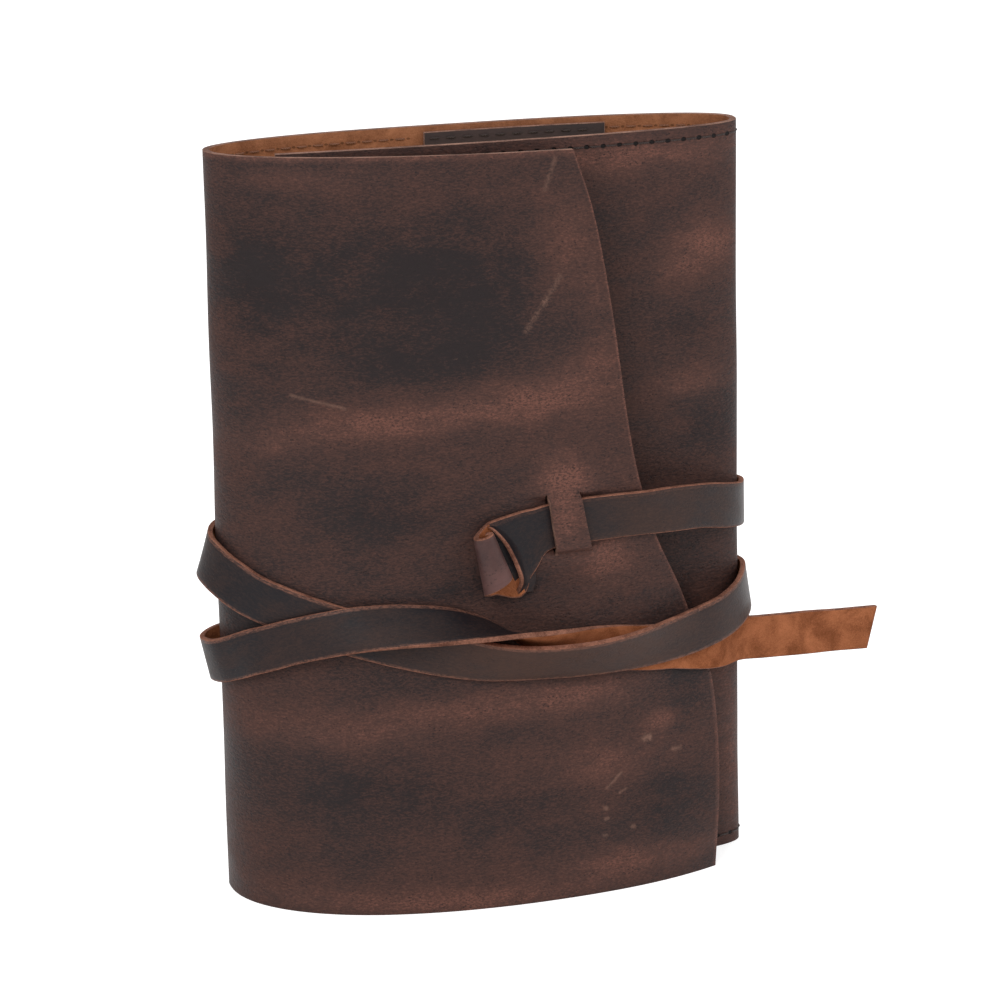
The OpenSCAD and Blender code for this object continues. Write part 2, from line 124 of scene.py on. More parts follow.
floor_paper, nodes, shader = new_material("floor_paper")
give(shader["Base Color"], FLOOR_COLOUR)
give(shader["Roughness"], 0.9)
give(shader["Specular IOR Level"], 0.1)
give(shader["Emission Color"], (1, 1, 1, 1))
rays = nodes.new("ShaderNodeLightPath").outputs
seen = math_node("MAXIMUM", rays["Is Camera Ray"], rays["Is Glossy Ray"])
seen = math_node("MAXIMUM", seen, rays["Is Transmission Ray"])
give(shader["Emission Strength"], times(seen, FLOOR_LIFT))

floor_mesh = bpy.data.meshes.new("floor")
floor_corners = [(-FLOOR_HALF, -FLOOR_HALF, 0), (FLOOR_HALF, -FLOOR_HALF, 0),
                 (FLOOR_HALF, FLOOR_HALF, 0), (-FLOOR_HALF, FLOOR_HALF, 0)]
floor_mesh.from_pydata(floor_corners, [], [(0, 1, 2, 3)])
floor = placed("floor", floor_mesh)
dress(floor, floor_paper)

# Light: white all round, a large soft lamp high on the left and weaker ones on the right and above.
AROUND = 0.62
LAMP_AIM = Vector((0.08, 0, 0.11))
# Name, place and size in m, and power
LAMPS = [
    ("soft_left", (-0.9, -1.3, 1.3), 1.2, 13),
    ("soft_right", (1.2, -0.7, 0.9), 1.0, 5),
    ("soft_top", (0.1, 0.3, 1.5), 0.9, 4),
]

world = bpy.data.worlds.new("white_room")
scene.world = world
world.use_nodes = True
room = world.node_tree.nodes
backdrop = room["Background"].inputs
plain = room.new("ShaderNodeMapRange")
give(plain.inputs["To Min"], AROUND)
give(plain.inputs["To Max"], 1)
give(plain.inputs["Value"], room.new("ShaderNodeLightPath").outputs["Is Camera Ray"])
give(backdrop["Strength"], plain.outputs["Result"])
give(backdrop["Color"], (1, 1, 1, 1))
for name, place, size, power in LAMPS:
    lamp = bpy.data.lights.new(name, "AREA")
    lamp.shape = "DISK"
    lamp.size = size
    lamp.energy = power
    lamp_object = placed(name, lamp)
    lamp_object.location = place
    lamp_object.rotation_euler = (LAMP_AIM - Vector(place)).to_track_quat("-Z", "Y").to_euler()

# Cover: one piece of oiled pull-up leather, 2 mm thick. It goes from the front's free edge round
# the spine, along the back and round the fore-edge fold, and over the front as the flap.
COVER_H = 225
COVER_W = 159
COVER_T = 2
BACK_BOW = 17
FRONT_BOW = 14.5
FRONT_EDGE = 19
FRONT_ROUND = 2.9
BACK_ROUND_SPINE = 2.3
BACK_ROUND_FOLD = 2.5
FRONT_LEAN = 3.6
FLAP_FOOT = 41.4
FLAP_HEAD = 28
FLAP_PINCH = 3.5
FLAP_REACH = 146
FLAP_DROP = 1.2
CREST_FOOT = 70
CREST_HEAD = 95
FOLD_ROUND_FOOT = 2.2
FOLD_ROUND_HEAD = 1.9
FALL_FOOT = 96
FALL_HEAD = 150
FALL_PINCH = 41
PINCH_Z = 95
PINCH_REACH = 48
KEEPER_X = 93.5
KEEPER_W = 10
KEEPER_LEN = 18.5
KEEPER_Z = 114.5
SLIT_W = 0.5
KEEPER_LIFT = 4.15
LIFT_RUN = 2
# How far the leather bulges round the slits' ends, and how far around them that is felt
END_BULGE = 2.2
BULGE_REACH = 7
BULGE_SIDE = 6
CUT_ROUND = 0.35
# Low waves in the leather: their length along it, their length upward and their depth
WAVE_LEN = 42
WAVE_HIGH = 36
WAVE_DEPTH = 0.35
FRONT = -1
BACK = 1
MID_X = COVER_W / 2
# Degrees of the fold, from its outermost point, whose points are spaced by angle
FOLD_TURN = 60
# Points in the plan: on the front, in a rounded quarter, and on the flap at its fold, up to the
# keeper, on the keeper and past it
FRONT_STEPS = 24
QUARTER_STEPS = 40
FOLD_STEPS = 22
BODY_STEPS = 30
STRIP_STEPS = 8
EDGE_STEPS = 20
# Rows of points: below the slits, beside them and above them
LOW_ROWS = 52
SLIT_ROWS = 20
HIGH_ROWS = 50
KEEPER_END = KEEPER_X + KEEPER_W
# The flap's free edge, as height and distance from the fold
FLAP_EDGE = [
    (0, FLAP_REACH - 1), (30, FLAP_REACH), (58, FLAP_REACH - 0.8), (70, FLAP_REACH - 4),
    (88, FLAP_REACH - 10.5), (108, FLAP_REACH - 19.5), (135, FLAP_REACH - 26.8),
    (COVER_H - 45, FLAP_REACH - 33), (COVER_H - 18, FLAP_REACH - 37.6), (COVER_H, FLAP_REACH - 43)]


def mix(a, b, share):
    return a + (b - a) * share


def along(rows, place):
    """Smooth curve through rows of (place, value, ...)."""
    rows = np.asarray(rows, float)
    last = len(rows) - 1
    i = int(np.clip(np.searchsorted(rows[:, 0], place, side="right") - 1, 0, last - 1))

    def slope(k):
        a, b = rows[max(k - 1, 0)], rows[min(k + 1, last)]
        return (b - a) / (b[0] - a[0])

    a, b = rows[i], rows[i + 1]
    d = b[0] - a[0]
    u = (place - a[0]) / d
    return (a * (2 * u ** 3 - 3 * u ** 2 + 1) + slope(i) * d * (u ** 3 - 2 * u ** 2 + u)
            + b * (3 * u ** 2 - 2 * u ** 3) + slope(i + 1) * d * (u ** 3 - u ** 2))


def bow(share, roundness):
    return max(1 - abs(share) ** roundness, 0) ** (1 / roundness)


def front_y(x):
    if x > MID_X:
        return -FRONT_BOW * bow((x - MID_X) / (COVER_W - MID_X), FRONT_ROUND)
    return -FRONT_BOW + FRONT_LEAN * ((MID_X - x) / MID_X) ** 2


def back_y(x):
    return BACK_BOW * bow((x - MID_X) / MID_X, BACK_ROUND_SPINE if x > MID_X else BACK_ROUND_FOLD)


def pinch(z):
    return math.exp(-((z - PINCH_Z) / PINCH_REACH) ** 2)


def crest_x(z):
    return mix(CREST_FOOT, CREST_HEAD, z / COVER_H)


def crest_y(z):
    return mix(FLAP_FOOT, FLAP_HEAD, z / COVER_H) - FLAP_PINCH * pinch(z)


def fall(z):
    return mix(FALL_FOOT, FALL_HEAD, z / COVER_H) - FALL_PINCH * pinch(z)


def fold_round(z):
    return mix(FOLD_ROUND_FOOT, FOLD_ROUND_HEAD, z / COVER_H)


def flap_y(x, z):
    crest = crest_x(z)
    if x < crest:
        return -crest_y(z) * bow((crest - x) / crest, fold_round(z))
    return -crest_y(z) * bow((x - crest) / fall(z), 2)


def edge_x(z):
    return along(FLAP_EDGE, z)[1]


def lean_x(x, z):
    return x + (x / edge_x(KEEPER_Z)) ** 3 * (edge_x(z) - edge_x(KEEPER_Z))


def cos_sin(degrees):
    return math.cos(math.radians(degrees)), math.sin(math.radians(degrees))


def spread(a, b, count):
    return [mix(a, b, k / count) for k in range(count)]


def quarter(first, last, half, depth, roundness):
    """Plan of a rounded quarter of the outline, from one angle to just before the other."""
    points = []
    for angle in spread(first, last, QUARTER_STEPS):
        c, s = cos_sin(angle)
        points.append((MID_X + half * c ** (2 / roundness), depth * s ** (2 / roundness)))
    return points


def shell_points():
    """Plan of the front, spine and back, from the front's free edge to the fore-edge fold."""
    return ([(x, front_y(x)) for x in spread(FRONT_EDGE, MID_X, FRONT_STEPS)]
            + quarter(90, 0, MID_X, -FRONT_BOW, FRONT_ROUND)
            + quarter(0, 90, MID_X, BACK_BOW, BACK_ROUND_SPINE)
            + quarter(90, 0, -MID_X, BACK_BOW, BACK_ROUND_FOLD))


def flap_points(z):
    """Plan of the flap at one height, from the fore-edge fold to its free edge."""
    power = 2 / fold_round(z)
    crest = crest_x(z)
    points = []
    for angle in spread(0, FOLD_TURN, FOLD_STEPS):
        c, s = cos_sin(angle)
        points.append((crest * (1 - c ** power), -crest_y(z) * s ** power))
    start = crest * (1 - cos_sin(FOLD_TURN)[0] ** power)
    xs = spread(start, lean_x(KEEPER_X - SLIT_W, z), BODY_STEPS)
    xs.append(lean_x(KEEPER_X - SLIT_W, z))
    xs += [lean_x(x, z) for x in spread(KEEPER_X, KEEPER_END, STRIP_STEPS)]
    xs.append(lean_x(KEEPER_END, z))
    xs += spread(lean_x(KEEPER_END + SLIT_W, z), edge_x(z), EDGE_STEPS)
    xs.append(edge_x(z))
    return points + [(x, flap_y(x, z)) for x in xs]


SHELL = shell_points()
FOLD_COL = len(SHELL)
SLIT_COL = FOLD_COL + FOLD_STEPS + BODY_STEPS
STRIP_FIRST = SLIT_COL + 1
STRIP_LAST = STRIP_FIRST + STRIP_STEPS
SLIT_LO = KEEPER_Z - KEEPER_LEN / 2
SLIT_HI = KEEPER_Z + KEEPER_LEN / 2


def ease(share):
    share = min(max(share, 0), 1)
    return share * share * (3 - 2 * share)


def keeper_rise(x, z, on_strip):
    """How far the leather bends out: over the strap on the strip, softly round the slits' ends."""
    inside = min(z - SLIT_LO, SLIT_HI - z)
    if on_strip and inside > 0:
        return mix(END_BULGE, KEEPER_LIFT, ease(inside / LIFT_RUN))
    aside = max(KEEPER_X - x, x - KEEPER_END, 0)
    near = math.exp(-(aside / BULGE_SIDE) ** 2 - (min(inside, 0) / BULGE_REACH) ** 2)
    return END_BULGE * near * max(0, 1 - max(inside, 0) / LIFT_RUN)


def travelled(line):
    """Length travelled along a line of points, at each of them."""
    return np.concatenate([[0], np.cumsum(np.linalg.norm(np.diff(line, axis=0), axis=1))])


def outward_normals(line):
    """Outward plan normals of a line of points, by its neighbours."""
    ahead = np.empty_like(line)
    ahead[1:-1] = line[2:] - line[:-2]
    ahead[0] = line[1] - line[0]
    ahead[-1] = line[-1] - line[-2]
    normals = np.stack([ahead[:, 1], -ahead[:, 0]], axis=1)
    return normals / np.linalg.norm(normals, axis=1)[:, None]


# Places where the leather is rubbed paler (+) or stays dark with oil (-), on the flap and on the
# front, with painted shade (-) and a painted sheen (+) among them: distance from the fold, height,
# half width, half height, amount
FLAP_RUBS_AND_SHADE = [
    (28, 219, 22, 4, 0.45), (14, 141, 13, 4, 0.5), (37, 147, 20, 4.5, 0.75), (66, 149, 22, 4.5, 0.6),
    (88, 153, 18, 6, 0.85), (107, 160, 14, 8, 0.45), (100, 196, 10, 16, 0.4), (110, 178, 5, 12, 0.35),
    (97, 128, 7, 7, 1.3), (98, 114, 6, 12, 0.65), (111, 103, 8, 7, 0.9), (82, 112, 14, 5, 0.2),
    (30, 55, 26, 5, 0.5), (72, 61, 34, 4.5, 0.5), (104, 62, 20, 5, 0.55), (112, 40, 18, 6, 0.5),
    (127, 50, 4.5, 3, 1.0), (118, 9, 28, 5, 0.7), (64, 3, 46, 4, 0.6), (20, 6, 18, 4, 0.3),
    # (74, 96): painted shade below the toggle
    (40, 185, 38, 24, -0.42), (75, 190, 22, 20, -0.25), (45, 120, 20, 9, -0.35), (74, 96, 26, 4, -0.4),
    (40, 37, 26, 10, -0.35), (84, 30, 20, 7, -0.2), (136, 62, 8, 12, -0.4), (130, 27, 14, 12, -0.35),
    (8, 90, 8, 14, -0.4), (60, 165, 20, 5, -0.3), (12, 190, 8, 20, -0.35)]
# On the front, (128, 218) is a painted sheen along the top and (123, 190) a painted shadow of the flap's
# edge
FRONT_RUBS_SHADE_SHEEN = [
    (147, 190, 9, 7, 0.8), (138, 184, 8, 5, 0.4), (143, 148, 12, 4, 0.5), (128, 218, 34, 5, 0.7),
    (148, 82, 7, 8, 0.4), (155, 30, 5, 24, 0.6), (152, 60, 5, 10, 0.35), (123, 190, 8, 14, -0.1),
    (148, 133, 10, 10, -0.4), (140, 165, 10, 6, -0.3)]
# How much paler the flap is right at its free edge and its top
EDGE_RUB = 0.8


def rub_and_light_at(x, z, rubs):
    total = 0
    for at_x, at_z, half_w, half_h, amount in rubs:
        total += amount * math.exp(-((x - at_x) / half_w) ** 2 - ((z - at_z) / half_h) ** 2)
    return total


def new_mesh(name, verts, faces, flat=None, marks=None, smooth=True):
    """A mesh from points in mm. Their flat places, in mm, become its texture map."""
    mesh = bpy.data.meshes.new(name)
    mesh.from_pydata((np.array(verts) * MM).tolist(), [], faces)
    mesh.polygons.foreach_set("use_smooth", [smooth] * len(faces))
    if marks is not None:
        mesh.polygons.foreach_set("material_index", marks)
    if flat is not None:
        layer = mesh.uv_layers.new(name="flat")
        corners = np.empty(len(mesh.loops), dtype=np.int32)
        mesh.loops.foreach_get("vertex_index", corners)
        layer.data.foreach_set("uv", (np.array(flat)[corners] / FLAT_UNIT).astype(np.float32).ravel())
    return mesh


def sheet_object(name, grid, flat, cut=None, rub_and_light=None):
    """A sheet from a grid of points in mm, without the faces for which cut(row, column) is true."""
    grid = np.array(grid)
    rows, cols = grid.shape[:2]
    faces = [(r * cols + c, r * cols + c + 1, (r + 1) * cols + c + 1, (r + 1) * cols + c)
             for r in range(rows - 1) for c in range(cols - 1) if not (cut and cut(r, c))]
    mesh = new_mesh(name, grid.reshape(-1, 3), faces, np.array(flat).reshape(-1, 2))
    if rub_and_light is not None:
        mesh.attributes.new("rub_and_light", "FLOAT", "POINT").data.foreach_set("value", np.ravel(rub_and_light))
    return placed(name, mesh)


def thicken(made, thickness, cut_round):
    """Gives a sheet its thickness, with flesh side and cut edges as second and third material."""
    solid = made.modifiers.new("thickness", "SOLIDIFY")
    solid.thickness = thickness * MM
    solid.offset = -1
    solid.use_even_offset = True
    solid.material_offset = 1
    solid.material_offset_rim = 2
    edges = made.modifiers.new("cut_edges", "BEVEL")
    edges.width = cut_round * MM
    edges.segments = 2
    edges.limit_method = "ANGLE"
    edges.angle_limit = math.radians(50)
    edges.material = 2


def cover_grid():
    heights = (spread(0, SLIT_LO, LOW_ROWS) + spread(SLIT_LO, SLIT_HI, SLIT_ROWS)
               + spread(SLIT_HI, COVER_H, HIGH_ROWS) + [COVER_H])
    grid, flat, rub_and_light = [], [], []
    for z in heights:
        line = np.array(SHELL + flap_points(z))
        normals = outward_normals(line)
        length = travelled(line)
        row, row_rub_and_light = [], []
        for i, (x, y) in enumerate(line):
            wave = noise.noise((length[i] / WAVE_LEN, z / WAVE_HIGH, 3.1)) * WAVE_DEPTH
            rise = keeper_rise(x, z, STRIP_FIRST <= i <= STRIP_LAST) if i >= FOLD_COL else 0
            at = line[i] + normals[i] * (rise + wave)
            drop = FLAP_DROP / COVER_H * max(x, 0) / FLAP_REACH if i >= FOLD_COL else 0
            row.append((at[0] - COVER_T / 2, at[1], z * (1 - drop)))
            worn_edge = EDGE_RUB if i == len(line) - 1 or z == COVER_H else 0
            row_rub_and_light.append(rub_and_light_at(x, z, FLAP_RUBS_AND_SHADE) + worn_edge if i >= FOLD_COL
                           else rub_and_light_at(x, z, FRONT_RUBS_SHADE_SHEEN) if y < 0 else 0)
        grid.append(row)
        flat.append([(s, z) for s in length])
        rub_and_light.append(row_rub_and_light)
    return grid, np.array(flat), rub_and_light


def in_slit(row, column):
    return LOW_ROWS <= row < LOW_ROWS + SLIT_ROWS and column in (SLIT_COL, STRIP_LAST)


cover_points, cover_flat, cover_rub_and_light = cover_grid()
cover = sheet_object("leather_cover", cover_points, cover_flat, in_slit, cover_rub_and_light)
thicken(cover, COVER_T, CUT_ROUND)
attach(cover, "root")
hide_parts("cover")


def group_nodes(name, inputs, outputs):
    """A new shader group. Its inputs are vectors (None) or numbers, and its outputs are numbers."""
    group = bpy.data.node_groups.new(name, "ShaderNodeTree")
    for label, value in inputs.items():
        kind = "NodeSocketVector" if value is None else "NodeSocketFloat"
        give(group.interface.new_socket(label, in_out="INPUT", socket_type=kind), value)
    for label in outputs:
        group.interface.new_socket(label, in_out="OUTPUT", socket_type="NodeSocketFloat")
    return group, group.nodes.new("NodeGroupInput").outputs, group.nodes.new("NodeGroupOutput").inputs


def place_group(group, vector, **values):
    node = vector.id_data.nodes.new("ShaderNodeGroup")
    node.node_tree = group
    give(node.inputs["Place"], vector)
    for label, value in values.items():
        give(node.inputs[label.replace("_", " ")], value)
    return node.outputs


def ramp(value, low, high, to_low=0.0, to_high=1.0):
    """Soft step from one value to another as the input goes from low to high."""
    node = value.id_data.nodes.new("ShaderNodeMapRange")
    node.interpolation_type = "SMOOTHSTEP"
    for label, number in (("From Min", low), ("From Max", high), ("To Min", to_low),
                          ("To Max", to_high), ("Value", value)):
        give(node.inputs[label], number)
    return node.outputs["Result"]


def vector_node(operation, a, b=None):
    node = a.id_data.nodes.new("ShaderNodeVectorMath")
    node.operation = operation
    give(node.inputs[0], a)
    give(node.inputs[3] if operation == "SCALE" else node.inputs[1], b)
    return node.outputs["Value"] if operation in ("DOT_PRODUCT", "LENGTH") else node.outputs["Vector"]


def stretched(vector, x, y=1, z=1):
    return vector_node("MULTIPLY", vector, (x, y, z))


def axes(vector):
    node = vector.id_data.nodes.new("ShaderNodeSeparateXYZ")
    give(node.inputs[0], vector)
    return node.outputs


def noise_node(vector, size, detail=3.0, rough=0.55, warp=0.0):
    """Noise with features of about the given size in mm."""
    node = vector.id_data.nodes.new("ShaderNodeTexNoise")
    for label, value in (("Scale", 1 / size), ("Detail", detail), ("Roughness", rough),
                         ("Distortion", warp), ("Vector", vector)):
        give(node.inputs[label], value)
    return node.outputs["Fac"]


def cells(vector, feature, scale):
    """Distance from the middle of the nearest cell."""
    node = vector.id_data.nodes.new("ShaderNodeTexVoronoi")
    node.feature = feature
    give(node.inputs["Vector"], vector)
    give(node.inputs["Scale"], scale)
    return node.outputs["Distance"]


def colour_mix(share, a, b):
    node = share.id_data.nodes.new("ShaderNodeMix")
    node.data_type = "RGBA"
    give(node.inputs[0], share)
    for socket, colour in ((node.inputs[6], a), (node.inputs[7], b)):
        give(socket, colour if isinstance(colour, bpy.types.NodeSocket) else (*colour, 1))
    return node.outputs[2]


def flat_mm(nodes):
    """Place on the flat leather in mm."""
    node = nodes.new("ShaderNodeUVMap")
    node.uv_map = "flat"
    return stretched(node.outputs["UV"], FLAT_UNIT, FLAT_UNIT, FLAT_UNIT)


def place_mm(nodes):
    """Place in the object's own space in mm."""
    return stretched(nodes.new("ShaderNodeTexCoord").outputs["Object"], 1 / MM, 1 / MM, 1 / MM)


def attribute(nodes, name):
    node = nodes.new("ShaderNodeAttribute")
    node.attribute_name = name
    return node.outputs["Fac"]


def bump(height, depth_mm, strength=1.0, normal=None):
    node = height.id_data.nodes.new("ShaderNodeBump")
    for label, value in (("Strength", strength), ("Distance", depth_mm * MM), ("Height", height),
                         ("Normal", normal)):
        give(node.inputs[label], value)
    return node.outputs["Normal"]


def surface(shader, colour, roughness, specular, normal):
    for label, value in (("Base Color", colour), ("Roughness", roughness),
                         ("Specular IOR Level", specular), ("Normal", normal)):
        give(shader[label], value)


# Grain of oiled pull-up leather: pores in rows, fine creases along the hide and cloudy oil
oiled_grain, inlet, outlet = group_nodes("oiled_grain", {"Place": None, "Pore size": 0.9, "Crease": 1.0},
                                         ("Cloud", "Pores", "Fibres", "Height"))
place = inlet["Place"]
cloud_wide = noise_node(stretched(place, 0.55), 26, 4, 0.6, 0.4)
cloud_small = noise_node(stretched(place, 0.6), 7, 4, 0.65, 0.3)
give(outlet["Cloud"], ramp(plus(times(cloud_wide, 0.6), times(cloud_small, 0.4)), 0.34, 0.66))
pore_scale = math_node("DIVIDE", 1.0, inlet["Pore size"])
pore_dot = ramp(cells(stretched(place, 0.75, 1.15), "F1", pore_scale), 0.12, 0.34, 1, 0)
pore_here = ramp(noise_node(stretched(place, 0.5), 3.5, 2), 0.42, 0.62)
pores = times(pore_dot, pore_here)
give(outlet["Pores"], pores)
give(outlet["Fibres"], ramp(noise_node(stretched(place, 0.42), 0.55, 4, 0.65, 0.8), 0.35, 0.68))
pebble = cells(stretched(place, 0.7, 1.1), "SMOOTH_F1", 1.5)
crease = noise_node(stretched(place, 0.4), 1.7, 5, 0.6, 1.6)
height = plus(times(pebble, 0.45), times(crease, inlet["Crease"]))
give(outlet["Height"], minus(height, times(pores, 0.5)))

# A scuff: a soft broken line between two places on the flat leather
scuff_line, inlet, outlet = group_nodes(
    "scuff_line", {"Place": None, "From": None, "To": None, "Width": 1.0, "Broken": 0.5}, ("Mask",))
run = vector_node("SUBTRACT", inlet["To"], inlet["From"])
reach = vector_node("SUBTRACT", inlet["Place"], inlet["From"])
share = math_node("DIVIDE", vector_node("DOT_PRODUCT", reach, run),
                  vector_node("DOT_PRODUCT", run, run), clamp=True)
gap = vector_node("LENGTH", vector_node("SUBTRACT", reach, vector_node("SCALE", run, share)))
near = math_node("DIVIDE", gap, inlet["Width"])
frayed = times(minus(noise_node(inlet["Place"], 1.6, 5, 0.75, 0.6), 0.5), 3.0)
mask = ramp(plus(near, frayed), -0.2, 1.3, 1, 0)
speckle = ramp(noise_node(inlet["Place"], 0.8, 4, 0.7), 0.4, 0.62)
give(outlet["Mask"], times(mask, minus(1.0, times(inlet["Broken"], minus(1.0, speckle)))))

# Flesh side of leather: short matted fibres, in patches that lie one way or the other
flesh_nap, inlet, outlet = group_nodes("flesh_nap", {"Place": None}, ("Tone", "Height"))
place = inlet["Place"]
patch = noise_node(place, 9, 3, 0.6, 0.6)
nap = noise_node(place, 0.5, 5, 0.75, 1.4)
strand = noise_node(stretched(place, 0.35, 1, 0.6), 0.7, 4, 0.7, 2.0)
give(outlet["Tone"], ramp(plus(times(patch, 0.5), times(nap, 0.5)), 0.34, 0.66))
give(outlet["Height"], plus(nap, strand))

# Holes of the seams: punched through both edges of the cover, midway between the stitches
SEAM_INSET = 3.4
SEAM_START = 4
SEAM_END = 14
STITCH_PITCH = 5
SHELL_LEN = cover_flat[0, FOLD_COL - 1, 0]

seam_holes, inlet, outlet = group_nodes(
    "seam_holes", {"Place": None, "Half length": 1.0, "Half height": 0.75}, ("Mask",))
place = axes(inlet["Place"])
in_pitch = math_node("MODULO", minus(place["X"], SEAM_START), STITCH_PITCH)
from_hole = math_node("ABSOLUTE", minus(in_pitch, STITCH_PITCH / 2))
from_middle = math_node("ABSOLUTE", minus(place["Y"], COVER_H / 2))
from_seam = math_node("ABSOLUTE", minus(from_middle, COVER_H / 2 - SEAM_INSET))
across = math_node("DIVIDE", from_hole, inlet["Half length"])
upward = math_node("DIVIDE", from_seam, inlet["Half height"])
gap = math_node("SQRT", plus(times(across, across), times(upward, upward)))
within = times(math_node("GREATER_THAN", place["X"], SEAM_START - 1),
               math_node("LESS_THAN", place["X"], SHELL_LEN - SEAM_END + 3))
give(outlet["Mask"], times(ramp(gap, 0.6, 1.0, 1, 0), within))

OIL_DARK_AND_SHADE = (0.019, 0.013, 0.0135)
OIL_BROWN = (0.072, 0.034, 0.027)
RUBBED_AND_LIT = (0.175, 0.073, 0.053)
WORN_THROUGH = (0.24, 0.13, 0.095)
# Near-black painted shade inside the seam holes
HOLE_SHADE = (0.004, 0.002, 0.002)
# Scuffs and scratches on the flap: from and to (distance from the fold, height), half width, how
# broken, amount
SCUFFS = [
    ((19.7, 155.9), (34.7, 152.1), 0.6, 0.4, 0.5), ((87.4, 172.7), (93.3, 181.1), 1.1, 0.8, 0.45),
    ((93.3, 181.1), (97.9, 188.1), 1.2, 0.8, 0.45), ((94.3, 213.9), (97.5, 222.7), 1.0, 0.7, 0.4),
    ((108.4, 32.3), (113.1, 36.2), 0.6, 0.4, 0.6), ((112.5, 30.4), (114.5, 31.3), 0.6, 0.4, 0.6),
    ((107.7, 26.2), (108.2, 26.2), 0.9, 0.3, 0.6), ((107.9, 22.8), (108.4, 22.8), 0.8, 0.3, 0.5),
    ((116.3, 19.2), (116.8, 19.2), 0.9, 0.3, 0.5), ((107.1, 17.9), (107.6, 17.9), 0.8, 0.3, 0.5),
    ((120.9, 45.7), (122.9, 45.7), 1.2, 0.3, 0.9), ((130.4, 40.8), (132.8, 40.7), 0.9, 0.4, 0.6)]


def on_flap(x, z):
    """Place on the flat leather, in mm, of a place on the flap."""
    line = np.array(SHELL + flap_points(z))
    length = travelled(line)
    return np.interp(x, line[FOLD_COL:, 0], length[FOLD_COL:]), z, 0


cover_grain, nodes, shader = new_material("cover_grain")
place = flat_mm(nodes)
grain = place_group(oiled_grain, place, Pore_size=0.95, Crease=1.0)
patchy = ramp(noise_node(stretched(place, 0.55), 6, 6, 0.7, 0.8), 0.34, 0.66, 0.6, 1.25)
# Rubbed, oiled and pale patches, with painted shade below the toggle and beside the flap's edge and a
# painted sheen along the front's top
wear_and_light = plus(times(grain["Cloud"], 0.26), times(times(attribute(nodes, "rub_and_light"), patchy), 0.6))
wear_and_light = plus(wear_and_light, times(minus(grain["Fibres"], 0.5), 0.3))
wear_and_light = plus(wear_and_light, 0.2, clamp=True)
pale_share = ramp(wear_and_light, 0.38, 0.95)
colour = colour_mix(ramp(wear_and_light, 0.0, 0.5), OIL_DARK_AND_SHADE, OIL_BROWN)
colour = colour_mix(pale_share, colour, RUBBED_AND_LIT)
grit = ramp(noise_node(stretched(place, 0.55), 0.55, 4, 0.75), 0.44, 0.6)
colour = colour_mix(times(grit, plus(times(pale_share, 0.5), 0.2)), colour, OIL_DARK_AND_SHADE)
colour = colour_mix(times(grain["Pores"], 0.75), colour, OIL_DARK_AND_SHADE)
nicks = ramp(noise_node(stretched(place, 0.5), 0.9, 5, 0.8, 0.5), 0.63, 0.74)
colour = colour_mix(times(nicks, 0.4), colour, WORN_THROUGH)
for start, end, width, broken, amount in SCUFFS:
    scuff = place_group(scuff_line, place, From=on_flap(*start), To=on_flap(*end), Width=width,
                        Broken=broken)
    colour = colour_mix(times(scuff["Mask"], amount), colour, WORN_THROUGH)
# The seam holes are painted near-black as shade in them, and bumped to look sunk
holes = place_group(seam_holes, place)["Mask"]
pitted = bump(minus(1.0, holes), 0.6)
surface(shader, colour_mix(holes, colour, HOLE_SHADE), ramp(grain["Cloud"], 0, 1, 0.5, 0.64), 0.18,
        bump(grain["Height"], 0.28, 0.9, pitted))


def flesh_material(name, dark, light, sewn=False):
    """Flesh side of leather, with the small inner ends of the seams' holes painted dark as shade where it
    is sewn.
    """
    material, nodes, shader = new_material(name)
    place = flat_mm(nodes)
    nap = place_group(flesh_nap, place)
    colour = colour_mix(nap["Tone"], dark, light)
    if sewn:
        holes = place_group(seam_holes, place, Half_length=0.7, Half_height=0.45)
        colour = colour_mix(times(holes["Mask"], 0.5), colour, HOLE_SHADE)
    surface(shader, colour, 0.95, 0.1, bump(nap["Height"], 0.3, 0.8))
    return material


def edge_material(name, dark, light):
    """Cut edge of leather: raw matted fibre with a few darker specks."""
    material, nodes, shader = new_material(name)
    place = place_mm(nodes)
    fuzz = noise_node(place, 0.6, 4, 0.7, 1.0)
    tone = plus(times(fuzz, 0.55), times(noise_node(place, 6, 3, 0.6), 0.45))
    surface(shader, colour_mix(ramp(tone, 0.36, 0.64), dark, light), 0.85, 0.15, bump(fuzz, 0.25, 0.8))
    return material


flesh_side = flesh_material("flesh_side", (0.19, 0.072, 0.034), (0.42, 0.175, 0.087), sewn=True)
cover_edge = edge_material("cover_edge", (0.11, 0.055, 0.042), (0.34, 0.19, 0.14))
dress(cover, cover_grain, flesh_side, cover_edge)

# Strap: one long leather band, 13.5 by 1.6 mm. Its wide end is rolled into a toggle and pushed out
# through a slit in the band. It runs through the keeper and twice round the cover.
STRAP_W = 13.5
STRAP_T = 1.6
STRAP_FIT = 0.3
STRAP_DIP = 0.5
TAIL_LEN = 45
TIP_SLANT = 0.18
LAY = STRAP_FIT + STRAP_T / 2
OVER = LAY + STRAP_T + STRAP_FIT
SPINE = COVER_W
